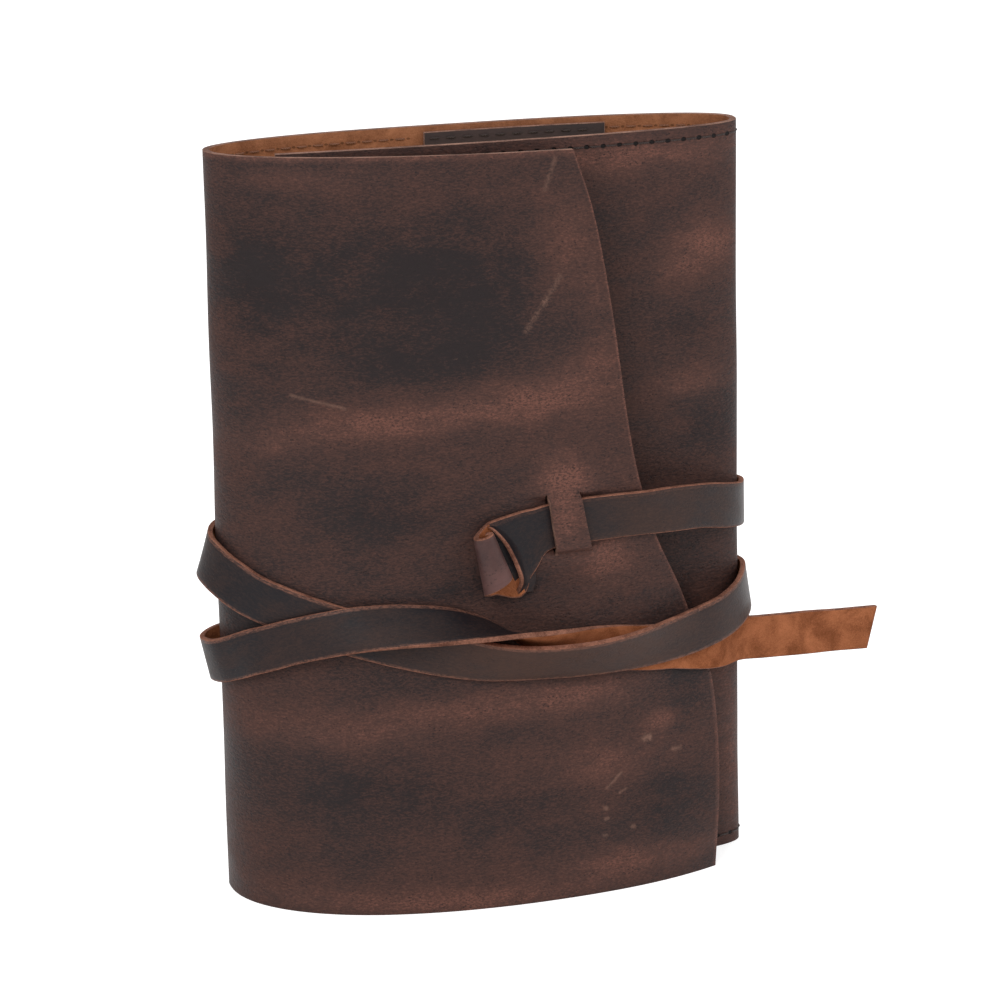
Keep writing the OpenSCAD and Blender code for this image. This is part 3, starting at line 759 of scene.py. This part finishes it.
# Route: distance from the fold, side, height, distance from the leather, twist in degrees,
# and how much wider than the strap it is at its top and its foot
WRAPS = [
    (78.2, FRONT, 107.2, LAY + 0.8, 0, 3.2, 8.1), (82, FRONT, 109, LAY + 0.5, 0, 2.7, 4.6),
    (86.5, FRONT, 111.2, LAY + 0.1, 0, 1.4, 2), (KEEPER_X - 3.5, FRONT, 112.5, LAY, 0, 0.5, 0),
    (KEEPER_X - 0.8, FRONT, 113.5, LAY, 0), (KEEPER_X + KEEPER_W / 2, FRONT, 114, LAY - STRAP_DIP, 0),
    (KEEPER_END + 0.8, FRONT, 114.5, LAY, 0), (114, FRONT, 114.6, LAY, 0), (123, FRONT, 114.4, LAY, 0),
    (SPINE - 28, FRONT, 113.9, LAY + 1, 0), (SPINE - 16, FRONT, 112.4, LAY + 0.2, 0),
    (SPINE - 7, FRONT, 110, LAY + 0.2, 0), (SPINE - 2, FRONT, 108.4, LAY + 0.2, 0),
    (SPINE, BACK, 107.8, LAY + 0.2, 0), (SPINE - 3, BACK, 107.4, LAY + 0.2, 0),
    (SPINE - 12, BACK, 107, LAY, 0), (SPINE - 30, BACK, 106.8, LAY, 0), (100, BACK, 106.6, LAY, 0),
    (70, BACK, 106.4, LAY, 0), (40, BACK, 106.2, LAY, 0), (18, BACK, 106, LAY, 0),
    (7, BACK, 105.8, LAY + 1, -6), (2, BACK, 105.3, LAY + 2.1, -13), (0, FRONT, 104.2, LAY + 2.6, -17),
    (1.2, FRONT, 101.8, LAY + 2.3, -14), (4, FRONT, 98.4, LAY + 1.2, -8),
    (8, FRONT, 95.2, LAY + 0.4, -2), (15, FRONT, 92, LAY, 0), (22, FRONT, 89.2, LAY, 0),
    (32, FRONT, 85.8, LAY, 0), (44, FRONT, 82.2, LAY, 0), (54, FRONT, 79.6, LAY + 0.4, 3),
    (65, FRONT, 77, LAY + 2, 18), (77, FRONT, 75.2, LAY + 4.2, 32), (90, FRONT, 74.4, LAY + 5.4, 38),
    (103, FRONT, 74.2, LAY + 6, 36), (116, FRONT, 74.4, OVER + 3.2, 27),
    (128, FRONT, 75, OVER + 1.8, 14), (SPINE - 22, FRONT, 76, OVER + 1.5, 5),
    (SPINE - 13, FRONT, 77.6, OVER + 1.3, 0), (SPINE - 6, FRONT, 79.6, OVER + 0.6, -4),
    (SPINE - 1.5, FRONT, 81.2, OVER - 0.4, -8), (SPINE, BACK, 82, LAY + 1.2, -8),
    (SPINE - 3, BACK, 82.2, LAY + 0.8, -5), (SPINE - 12, BACK, 82, LAY, 0),
    (SPINE - 30, BACK, 81.2, LAY, 0), (100, BACK, 79.6, LAY, 0), (70, BACK, 77.8, LAY, 0),
    (40, BACK, 75.8, LAY, 0), (18, BACK, 74.2, LAY, 0), (7, BACK, 73.2, LAY + 0.6, 0),
    (2, BACK, 72.6, LAY + 1.6, 6), (0, FRONT, 72.6, LAY + 3, 12), (1.2, FRONT, 73.6, LAY + 3, 12),
    (4, FRONT, 75.8, LAY + 2, 6), (8, FRONT, 78.4, OVER + 0.1, 0), (12.5, FRONT, 80.4, OVER + 0.3, -1),
    (18, FRONT, 82.6, OVER + 0.4, -4), (26, FRONT, 85, OVER + 1.2, -10),
    (36, FRONT, 87, OVER + 1.8, -19), (46, FRONT, 87.7, OVER + 1.8, -30),
    (55, FRONT, 87.8, OVER + 2.7, -42), (64, FRONT, 87.4, OVER + 3.9, -58),
    (73, FRONT, 86, OVER + 4.8, -78), (82, FRONT, 83.4, OVER + 4.6, -104),
    (91, FRONT, 79.8, OVER + 3.2, -132), (101, FRONT, 76.6, LAY + 2.6, -160),
    (112, FRONT, 74.6, LAY + 0.4, -176), (122, FRONT, 72.8, LAY, -180),
    (132, FRONT, 71.4, LAY + 0.1, -180), (SPINE - 18, FRONT, 69.4, LAY + 0.7, -180),
    (SPINE - 10, FRONT, 67.8, LAY + 0.5, -180)]
# Free end: past the spine, depth and height
TAIL = [(-2, -10.5, 66.6), (6, -7, 65.4), (TAIL_LEN / 2, -1, 63.4), (TAIL_LEN, 6, 61)]
ROLL_X = 74.9
ROLL_Z = 105.8
ROLL_RISE = 15.5
ROLL_R = 4
ROLL_GAP = 0.15
ROLL_TURNS = 330
ROLL_STEP = 30
ROLL_CONE = 6
ROLL_STAND = 1.1
ROLL_TOP = 8.6
ROLL_FOOT = 5.8
ROLL_TIP = 6.6


def unit(vector):
    return np.asarray(vector, float) / np.linalg.norm(vector)


def girth(x, side, z):
    """Plan of the surface that the strap goes round."""
    if x < 0:
        return girth(-x, -side, z)
    if x > COVER_W:
        return girth(2 * COVER_W - x, -side, z)
    if side == BACK:
        return np.array([x, back_y(x)])
    crest = crest_x(z)
    if x < crest or x < edge_x(z) + 1:
        return np.array([x, flap_y(x, z)])
    return np.array([x, -crest_y(z) * bow((x - crest) / (COVER_W - crest), 2)])


def girth_normal(x, side, z):
    d = (girth(x + 0.4, side, z) - girth(x - 0.4, side, z)) * -side
    return unit([d[1], -d[0], 0])


def strap_route():
    """Rows of travelled length, place, the strap's upward side and its reach up and down."""
    normal = girth_normal(ROLL_X, FRONT, ROLL_Z)
    rise, cone = math.radians(ROLL_RISE), math.radians(ROLL_CONE)
    half = STRAP_W / 2
    forward = unit([-normal[1] * math.cos(rise), normal[0] * math.cos(rise), math.sin(rise)])
    axis = np.cross(normal, forward)
    centre = np.append(girth(ROLL_X, FRONT, ROLL_Z), ROLL_Z) + normal * (LAY + ROLL_STAND + ROLL_R)
    stops = []
    for angle in range(-ROLL_TURNS, 0, ROLL_STEP):
        reach = ROLL_R + (STRAP_T + ROLL_GAP) * angle / 360
        turn = math.radians(angle - 90)
        off = math.cos(turn) * forward + math.sin(turn) * normal
        foot = ROLL_FOOT + ROLL_TIP * (1 + angle / ROLL_TURNS) ** 2
        stops.append((centre + reach * off, axis * math.cos(cone) - off * math.sin(cone),
                      (ROLL_TOP, foot)))
    places = [np.append(girth(x, side, z), z) + girth_normal(x, side, z) * off
              for x, side, z, off, *rest in WRAPS]
    for i, (x, side, z, off, twist, *wider) in enumerate(WRAPS):
        going = unit(places[min(i + 1, len(places) - 1)] - places[max(i - 1, 0)])
        climb = np.append(girth(x, side, z + 3) - girth(x, side, z - 3), 6)
        out = unit(np.cross(going, climb))
        up = np.cross(out, going)
        turn = math.radians(twist)
        above, under = wider or (0, 0)
        stops.append((places[i], up * math.cos(turn) + out * math.sin(turn), (half + above, half + under)))
    stops += [(np.array([SPINE + x, y, z]), np.array([0, 0, -1]), (half, half)) for x, y, z in TAIL]
    rows, length = [], 0
    for i, (place, up, halves) in enumerate(stops):
        if i:
            length += np.linalg.norm(place - stops[i - 1][0])
        rows.append(np.concatenate([[length], place, up, halves]))
    return np.array(rows)


ROUTE = strap_route()
STRAP_LEN = ROUTE[-1][0]
ROLL_LEN = ROUTE[ROLL_TURNS // ROLL_STEP][0]


def strap_frame(s):
    row = along(ROUTE, s)
    going = unit(along(ROUTE, min(s + 0.2, STRAP_LEN))[1:4] - along(ROUTE, max(s - 0.2, 0))[1:4])
    up = unit(row[4:7] - going * np.dot(row[4:7], going))
    return row[1:4], going, up, unit(np.cross(going, up)), row[7:9] / (STRAP_W / 2)


def band_profile(width, thick, edge):
    """Rounded outline of a band, as (across, out, material): 0 grain, 1 flesh, 2 cut edge."""
    flat = width / 2 - edge

    def corner(side, level, angles):
        return [(side * flat + edge * c, level * (thick / 2 - edge) + edge * s, 2)
                for c, s in map(cos_sin, angles)]

    return ([(mix(-flat, flat, k / BAND_STEPS), thick / 2, 0) for k in range(BAND_STEPS)]
            + corner(1, 1, (90, 45, 0)) + corner(1, -1, (0, -45))
            + [(mix(flat, -flat, k / BAND_STEPS), -thick / 2, 1) for k in range(BAND_STEPS)]
            + corner(-1, -1, (-90, -135, -180)) + corner(-1, 1, (180, 135)))


# The slit's lip curls up beside the roll: share of its rim from the foot up, distance from the
# fold, height, distance from the leather
LIP_RIM = [(0, 82.9, 94.2, 2.2), (0.2, 84.1, 98.6, 4.4), (0.45, 82.6, 104, 5.8), (0.7, 79.9, 110.2, 5.6),
           (0.84, 77.3, 113.8, 4.8), (0.94, 75.2, 115.6, 3.8), (1, 73.6, 115.6, 2.6)]
LIP_REACH = 4.5
LIP_TURN = math.radians(75)
LIP_SUNK = 0.3
LIP_ROWS = 48
LIP_COLS = 12
# The lip's dark tone is partly its oil and partly painted shade of its side facing away from the light
LIP_TONE_AND_SHADE = 0.1
# Where the lip takes its grain from on the flat strap: how far past the roll, and how wide
LIP_FLAT_FROM = 8
LIP_FLAT_W = 10
# Share of the lip, from its foot up, whose inner side shows the flesh; above it the inner side takes the
# dark grain as painted shadow between lip and roll
LIP_FLESH_BELOW_SHADE = 0.3
# How far right of the lip's rim the band's flesh side still shows
RIM_ROOM = 0.3
# The band shows its flesh side left of the lip, up to this height and on the part that is this long;
# above that height it keeps the dark grain there as painted shadow in the gap between roll and lip
FLESH_TOP_BELOW_SHADE = 97
FLESH_LEN = 60


def lip_point(share, curl, depth):
    """A point of the lip: share of its rim, share of its curl from root to rim, depth in it."""
    _, rim_x, z, rim_off = along(LIP_RIM, share)
    angle = LIP_TURN * curl
    root = LAY + STRAP_T / 2 - LIP_SUNK
    rise = (rim_off - root) / (1 - math.cos(LIP_TURN))
    slope = math.atan2(rise * math.sin(angle), LIP_REACH / math.sin(LIP_TURN) * math.cos(angle))
    x = rim_x + LIP_REACH * (1 - math.sin(angle) / math.sin(LIP_TURN)) - depth * math.sin(slope)
    off = root + rise * (1 - math.cos(angle)) - depth * math.cos(slope)
    return np.append(girth(x, FRONT, z), z) + girth_normal(x, FRONT, z) * off


def behind_lip(place, s):
    """Whether a place on the band, in mm, lies on the side of the lip where the flesh side shows; higher
    up, that side keeps the dark grain as painted shadow.
    """
    rim = np.array(LIP_RIM)
    low = s < FLESH_LEN and place[2] < FLESH_TOP_BELOW_SHADE
    return low and place[0] < np.interp(place[2], rim[:-1, 2], rim[:-1, 1]) + RIM_ROOM


# How brown the strap is along its length: travelled length, tone from oily dark (0) to brown (1).
# Beside the lip, from 24 to 45 mm, the dark is partly painted shade of the side that faces away
# from the light.
STRAP_TONES_AND_SHADE = [(0, 0.4), (24, 0.1), (45, 0.1), (56, 0.35), (90, 0.3), (110, 0.4), (270, 0.4), (296, 0.3),
               (318, 0.1), (360, 0.25), (394, 0.75), (435, 0.8), (462, 0.45), (488, 0.5), (660, 0.3),
               (690, 0.1), (735, 0.2), (750, 0), (780, 0), (912, 0.4)]
EDGE_ROUND = 0.25
BAND_STEPS = 6
# Spacing of the band's rings on the roll and elsewhere
ROLL_PITCH = 0.6
BAND_PITCH = 1.1
# How much the band's width varies, and the length of its slanting free end
WIDTH_WOBBLE = 0.02
TIP_LEN = 9


def add_lip(verts, faces, marks, flats, tones_and_shade):
    """Adds the lip as a closed curled shell, with its grain side out."""
    first = len(verts)
    row = LIP_COLS + 1
    back = (LIP_ROWS + 1) * row
    for depth in (0, STRAP_T - LIP_SUNK):
        for r in range(LIP_ROWS + 1):
            for c in range(row):
                verts.append(lip_point(r / LIP_ROWS, 1 - c / LIP_COLS, depth) - (COVER_T / 2, 0, 0))
                flats.append((ROLL_LEN + LIP_FLAT_FROM + c / 2, (r / LIP_ROWS - 0.5) * LIP_FLAT_W))
                tones_and_shade.append(LIP_TONE_AND_SHADE)
    for r in range(LIP_ROWS):
        for c in range(LIP_COLS):
            a = first + r * row + c
            faces.append((a, a + 1, a + row + 1, a + row))
            faces.append((a + back, a + back + row, a + back + row + 1, a + back + 1))
            # Higher up the lip, its inner side takes the dark grain as painted shadow between lip and roll
            marks += [0, 1 if r < LIP_ROWS * LIP_FLESH_BELOW_SHADE else 0]
        for c, step in ((0, 1), (LIP_COLS, -1)):
            a = first + (r if step > 0 else r + 1) * row + c
            faces.append((a, a + row * step, a + back + row * step, a + back))
            marks.append(2)
    for c in range(LIP_COLS):
        for r, step in ((0, -1), (LIP_ROWS, 1)):
            a = first + r * row + (c if step > 0 else c + 1)
            faces.append((a, a + step, a + back + step, a + back))
            marks.append(2)


def strap_mesh():
    """The band, closed at both ends, with its lip."""
    profile = band_profile(STRAP_W, STRAP_T, EDGE_ROUND)
    roll_rings = int(ROLL_LEN / ROLL_PITCH)
    rings = int((STRAP_LEN - ROLL_LEN) / BAND_PITCH)
    stations = spread(0, ROLL_LEN, roll_rings) + spread(ROLL_LEN, STRAP_LEN, rings) + [STRAP_LEN]
    verts, faces, marks, flats, tones_and_shade = [], [], [], [], []
    ring = len(profile)
    tone_and_shade_rows = np.array(STRAP_TONES_AND_SHADE)
    for s in stations:
        place, going, up, out, halves = strap_frame(s)
        wobble = 1 + WIDTH_WOBBLE * noise.noise((s / 9, 0.5, 2.5))
        slant = -TIP_SLANT * ease((s - STRAP_LEN + TIP_LEN) / TIP_LEN)
        for across, outward, mark in profile:
            wide = across * halves[0 if across > 0 else 1]
            at = place + up * wide * wobble + out * outward + going * slant * across
            verts.append(at - (COVER_T / 2, 0, 0))
            flats.append((s, across if mark < 2 else across + outward))
        tones_and_shade += [np.interp(s, tone_and_shade_rows[:, 0], tone_and_shade_rows[:, 1])] * ring
    for k in range(len(stations) - 1):
        for j in range(ring):
            a, b = k * ring + j, k * ring + (j + 1) % ring
            faces.append((a, a + ring, b + ring, b))
            # Left of the lip but above a height, the band keeps the dark grain as painted shadow in the
            # gap
            turned = stations[k] < ROLL_LEN or behind_lip(verts[a], stations[k])
            marks.append((1, 0, 2)[profile[j][2]] if turned else profile[j][2])
    faces.append(tuple(range(ring)))
    faces.append(tuple(reversed(range(len(verts) - ring, len(verts)))))
    marks += [2, 2]
    add_lip(verts, faces, marks, flats, tones_and_shade)
    mesh = new_mesh("leather_strap", verts, faces, flats, marks)
    mesh.attributes.new("tone", "FLOAT", "POINT").data.foreach_set("value", tones_and_shade)
    return mesh


strap = placed("leather_strap", strap_mesh())
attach(strap, "root")
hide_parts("strap")

STRAP_DARK_AND_SHADE = (0.011, 0.0085, 0.0105)
STRAP_BROWN = (0.075, 0.037, 0.026)
STRAP_RUBBED = (0.11, 0.056, 0.044)
STRAP_FRAYED = (0.19, 0.083, 0.056)
ROLL_WORN = (0.13, 0.064, 0.058)

strap_grain, nodes, shader = new_material("strap_grain")
place = flat_mm(nodes)
grain = place_group(oiled_grain, place, Pore_size=0.7, Crease=0.5)
# The tone attribute is the strap's own oily dark and brown, with painted shade beside the lip
wear_and_light = plus(times(grain["Cloud"], 0.4), times(attribute(nodes, "tone"), 0.75))
wear_and_light = minus(wear_and_light, 0.12)
wear_and_light = plus(wear_and_light, times(minus(grain["Fibres"], 0.5), 0.25), clamp=True)
colour = colour_mix(wear_and_light, STRAP_DARK_AND_SHADE, STRAP_BROWN)
along_strap, across_strap = axes(place)[:2]
at_edge = ramp(math_node("ABSOLUTE", across_strap), STRAP_W / 2 - 1.1, STRAP_W / 2 - 0.3)
ragged = times(at_edge, ramp(grain["Fibres"], 0, 1, 0.2, 0.95))
ragged = times(ragged, ramp(along_strap, 120, 280, 0.25, 1))
colour = colour_mix(ragged, colour, STRAP_FRAYED)
nicks = ramp(noise_node(stretched(place, 0.4), 1.3, 5, 0.75, 0.5), 0.66, 0.78)
colour = colour_mix(times(nicks, 0.3), colour, STRAP_RUBBED)
on_roll = times(ramp(along_strap, ROLL_LEN - 4, ROLL_LEN, 1, 0), ramp(grain["Cloud"], 0, 1, 0.4, 1))
colour = colour_mix(on_roll, colour, ROLL_WORN)
colour = colour_mix(times(grain["Pores"], 0.5), colour, STRAP_DARK_AND_SHADE)
surface(shader, colour, ramp(grain["Cloud"], 0, 1, 0.42, 0.56), 0.2, bump(grain["Height"], 0.16, 0.8))

strap_flesh = flesh_material("strap_flesh", (0.19, 0.057, 0.021), (0.47, 0.165, 0.072))
strap_edge = edge_material("strap_edge", (0.11, 0.043, 0.028), (0.33, 0.145, 0.095))
dress(strap, strap_grain, strap_flesh, strap_edge)

# Pockets: two panels of thin dark leather, sewn to the cover along its top and bottom edges,
# grain side towards the pages. The front one gapes at its open side.
POCKET_T = 1.2
POCKET_ROUND = 0.2
POCKET_ROWS = 40
POCKET_INSET = 1.5
POCKET_STAND = 0.8
POCKET_GAPE = 3
GAPE_REACH = 26
FRONT_POCKET_X = 66
FRONT_POCKET_END = COVER_W - 12
BACK_POCKET_X = 68
BACK_POCKET_W = 55


def gape(x):
    return POCKET_GAPE * max(0, 1 - (x - FRONT_POCKET_X) / GAPE_REACH) ** 2


def inner_point(x, side, depth):
    """Plan of a point inside the cover, at a depth from its outer face."""
    y = back_y if side == BACK else front_y
    d = np.array([-1, y(x - 0.5) - y(x + 0.5)] if side == BACK else [1, y(x + 0.5) - y(x - 0.5)])
    d = d / np.linalg.norm(d)
    return x - d[1] * depth - COVER_T / 2, y(x) + d[0] * depth


def pocket(name, node, xs, side, loose):
    grid, flat = [], []
    for z in spread(POCKET_INSET, COVER_H - POCKET_INSET, POCKET_ROWS) + [COVER_H - POCKET_INSET]:
        grid.append([(*inner_point(x, side, COVER_T + POCKET_STAND + loose(x)), z) for x in xs])
        flat.append([(x, z) for x in xs])
    made = sheet_object(name, grid, flat)
    thicken(made, POCKET_T, POCKET_ROUND)
    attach(made, "root")
    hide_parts(node)
    return made


front_pocket = pocket("front_pocket_panel", "front_pocket",
                      spread(FRONT_POCKET_X, FRONT_POCKET_END, 40) + [FRONT_POCKET_END], FRONT, gape)
back_pocket = pocket("back_pocket_panel", "back_pocket",
                     spread(BACK_POCKET_X + BACK_POCKET_W, BACK_POCKET_X, 30) + [BACK_POCKET_X],
                     BACK, lambda x: 0)

POCKET_DARK = (0.02, 0.0135, 0.014)
POCKET_BROWN = (0.05, 0.029, 0.026)

pocket_grain, nodes, shader = new_material("pocket_grain")
grain = place_group(oiled_grain, flat_mm(nodes), Pore_size=0.8, Crease=0.8)
colour = colour_mix(grain["Cloud"], POCKET_DARK, POCKET_BROWN)
colour = colour_mix(times(grain["Pores"], 0.4), colour, POCKET_DARK)
surface(shader, colour, ramp(grain["Fibres"], 0, 1, 0.45, 0.58), 0.35, bump(grain["Height"], 0.12, 0.6))
for panel in (front_pocket, back_pocket):
    dress(panel, flesh_side, pocket_grain, cover_edge)

# Seams: waxed brown thread, saddle stitched along the top and bottom edges from the front's free
# edge round the spine to the back. Each stitch dips into its holes.
THREAD_D = 0.6
STITCH_LEN = 3.4
OUTER_LIFT = 0.15
INNER_LIFT = 0.3
EDGE_ROOM = 3
THREAD_SIDES = 6
THREAD_STEPS = 9

shell_rows = np.column_stack([cover_flat[0, :FOLD_COL, 0], np.array(SHELL)])


def stitch(verts, faces, marks, mark, middle, going, out, z, length):
    first = len(verts)
    for k in range(THREAD_STEPS + 1):
        share = 2 * k / THREAD_STEPS - 1
        at = middle + going * share * (length / 2 + 0.5) - out * 1.2 * abs(share) ** 5
        for side in range(THREAD_SIDES):
            turn = 2 * math.pi * side / THREAD_SIDES
            reach = THREAD_D / 2 * (1 - 0.25 * abs(share) ** 3)
            verts.append((*(at + out * reach * math.cos(turn)), z + reach * math.sin(turn)))
    for k in range(THREAD_STEPS):
        for side in range(THREAD_SIDES):
            a = first + k * THREAD_SIDES + side
            b = first + k * THREAD_SIDES + (side + 1) % THREAD_SIDES
            faces.append((a, b, b + THREAD_SIDES, a + THREAD_SIDES))
            marks.append(mark)


def seam(name, node, z):
    verts, faces, marks = [], [], []
    s = SEAM_START
    while s <= shell_rows[-1][0] - SEAM_END + 0.01:
        before, after = along(shell_rows, s - 0.5)[1:], along(shell_rows, s + 0.5)[1:]
        going = unit(after - before)
        out = np.array([going[1], -going[0]])
        on_skin = (before + after) / 2
        middle = on_skin - (COVER_T / 2, 0)
        stitch(verts, faces, marks, 0, middle + out * OUTER_LIFT, going, out, z, STITCH_LEN)
        behind = on_skin[1] > 0
        low = BACK_POCKET_X if behind else FRONT_POCKET_X
        high = BACK_POCKET_X + BACK_POCKET_W if behind else FRONT_POCKET_END
        on_pocket = low + EDGE_ROOM < on_skin[0] < high - EDGE_ROOM
        off_pocket = not low - EDGE_ROOM < on_skin[0] < high + EDGE_ROOM
        if on_pocket or off_pocket:
            loose = 0 if behind else gape(on_skin[0])
            depth = COVER_T + (POCKET_STAND + POCKET_T + loose if on_pocket else 0) + INNER_LIFT
            stitch(verts, faces, marks, int(off_pocket), middle - out * depth, going, -out, z,
                   STITCH_LEN - 0.8)
        s += STITCH_PITCH
    made = placed(name, new_mesh(name, verts, faces, marks=marks))
    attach(made, "root")
    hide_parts(node)
    return made


def thread_material(name, dark, light):
    """Waxed thread of two plies, with the leather's colour rubbed into it."""
    material, nodes, shader = new_material(name)
    place = place_mm(nodes)
    plies = nodes.new("ShaderNodeTexWave")
    plies.wave_type = "BANDS"
    plies.bands_direction = "DIAGONAL"
    give(plies.inputs["Scale"], 0.9)
    give(plies.inputs["Distortion"], 0.6)
    give(plies.inputs["Vector"], place)
    twist = plies.outputs["Fac"]
    surface(shader, colour_mix(twist, dark, light), ramp(noise_node(place, 1.5), 0.3, 0.7, 0.5, 0.75),
            None, bump(twist, 0.1))
    return material


outer_thread = thread_material("outer_thread", (0.016, 0.009, 0.008), (0.045, 0.023, 0.018))
inner_thread = thread_material("inner_thread", (0.13, 0.05, 0.024), (0.27, 0.11, 0.055))
for name, node, z in (("top_seam_thread", "top_seam", COVER_H - SEAM_INSET),
                      ("bottom_seam_thread", "bottom_seam", SEAM_INSET)):
    dress(seam(name, node, z), outer_thread, inner_thread)

# Refill cover: one folded sheet of brown card, whose two boards slide in behind the pockets.
REFILL_Z = 7.5
REFILL_H = COVER_H - 2 * REFILL_Z
CARD_T = 0.4
CARD_ROUND = 0.08
CARD_ROWS = 12
CARD_FIT = 0.2
PAGES_X = 9
PAGES_CORNER = 3


def inside_line(depth):
    """Plan of a line inside the cover, at a depth from its outer face that depends on place."""
    line = np.array(SHELL)
    normals = outward_normals(line)
    kept = line[:, 0] >= PAGES_X + PAGES_CORNER
    depths = np.array([depth(point) for point in line])[:, None]
    return (line - normals * depths)[kept] - (COVER_T / 2, 0)


card_line = inside_line(lambda point: COVER_T + CARD_FIT)
card_z = spread(REFILL_Z, REFILL_Z + REFILL_H, CARD_ROWS) + [REFILL_Z + REFILL_H]
refill_card = sheet_object("refill_card", [[(x, y, z) for x, y in card_line] for z in card_z],
                           [[(k * 2, z) for k in range(len(card_line))] for z in card_z])
thicken(refill_card, CARD_T, CARD_ROUND)
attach(refill_card, "root")
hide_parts("refill_cover")

CARD_DARK = (0.3, 0.17, 0.075)
CARD_LIGHT = (0.45, 0.27, 0.13)

brown_card, nodes, shader = new_material("brown_card")
pulp = noise_node(stretched(place_mm(nodes), 1, 1, 0.3), 1.2, 5, 0.7)
surface(shader, colour_mix(ramp(pulp, 0.35, 0.65), CARD_DARK, CARD_LIGHT),
        ramp(pulp, 0.3, 0.7, 0.75, 0.9), None, bump(pulp, 0.05, 0.5))
dress(refill_card, brown_card, brown_card, brown_card)

# Refill pages: a block of cream paper, glued to the card at its spine and fanned out a little.
PAGES_EDGE = 10
PAGES_FIT = 0.3
GLUED_W = 8
LEAVES = 70
PAGES_ROWS = 60
PAGES_COLS = 24
PAGES_RAGGED = 0.25


def pages_depth(point):
    x, y = point
    if x > COVER_W - GLUED_W:
        return COVER_T + CARD_FIT + CARD_T
    opened = 0 if y > 0 else POCKET_GAPE if x < FRONT_POCKET_X + 4 else gape(x)
    return COVER_T + POCKET_STAND + POCKET_T + PAGES_FIT + opened


def pages_mesh():
    """Two side lines from the fore edge to the spine, joined by rows of leaf edges."""
    line = inside_line(pages_depth)
    turn = int(np.argmax(line[:, 0]))
    front_side = np.vstack([[PAGES_X - COVER_T / 2, -PAGES_EDGE / 2], line[:turn + 1]])
    back_side = np.vstack([line[turn:], [PAGES_X - COVER_T / 2, PAGES_EDGE / 2]])[::-1]
    rows, cols = PAGES_ROWS, PAGES_COLS

    def sample(side, share):
        lengths = travelled(side)
        reach = share * lengths[-1]
        return np.array([np.interp(reach, lengths, side[:, 0]), np.interp(reach, lengths, side[:, 1])])

    verts, faces, flats = [], [], []
    plan = [[mix(sample(front_side, k / rows), sample(back_side, k / rows), q / cols)
             for q in range(cols + 1)] for k in range(rows + 1)]
    for z in (REFILL_Z, REFILL_Z + REFILL_H):
        for k in range(rows + 1):
            for q in range(cols + 1):
                ragged = PAGES_RAGGED * math.sin(q * 2.4) if k == 0 else 0
                verts.append((plan[k][q][0] + ragged, plan[k][q][1], z))
                flats.append((k, q / cols * LEAVES))
    size = (rows + 1) * (cols + 1)

    def at(k, q, top):
        return top * size + k * (cols + 1) + q

    for k in range(rows):
        for q in range(cols):
            faces.append((at(k, q, 1), at(k + 1, q, 1), at(k + 1, q + 1, 1), at(k, q + 1, 1)))
            faces.append((at(k, q, 0), at(k, q + 1, 0), at(k + 1, q + 1, 0), at(k + 1, q, 0)))
        faces.append((at(k, 0, 0), at(k + 1, 0, 0), at(k + 1, 0, 1), at(k, 0, 1)))
        faces.append((at(k, cols, 0), at(k, cols, 1), at(k + 1, cols, 1), at(k + 1, cols, 0)))
    for q in range(cols):
        faces.append((at(0, q, 0), at(0, q, 1), at(0, q + 1, 1), at(0, q + 1, 0)))
        faces.append((at(rows, q, 0), at(rows, q + 1, 0), at(rows, q + 1, 1), at(rows, q, 1)))
    return new_mesh("paper_block", verts, faces, flats, smooth=False)


paper_block = placed("paper_block", pages_mesh())
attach(paper_block, "root")
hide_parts("refill_pages")

PAPER_LIGHT = (0.8, 0.74, 0.6)
PAPER_SHADE = (0.5, 0.44, 0.33)

paper_edges, nodes, shader = new_material("paper_edges")
leaf = math_node("FRACT", axes(flat_mm(nodes))["Y"])
# Lines between the leaves are painted shade, patchy in strength
between = ramp(math_node("ABSOLUTE", minus(leaf, 0.5)), 0.3, 0.5)
paper_patches = noise_node(place_mm(nodes), 8, 3)
shade = times(between, ramp(paper_patches, 0.3, 0.7, 0.5, 1))
surface(shader, colour_mix(shade, PAPER_LIGHT, PAPER_SHADE), ramp(paper_patches, 0.3, 0.7, 0.85, 0.95), None,
        bump(minus(1.0, between), 0.1))
dress(paper_block, paper_edges)
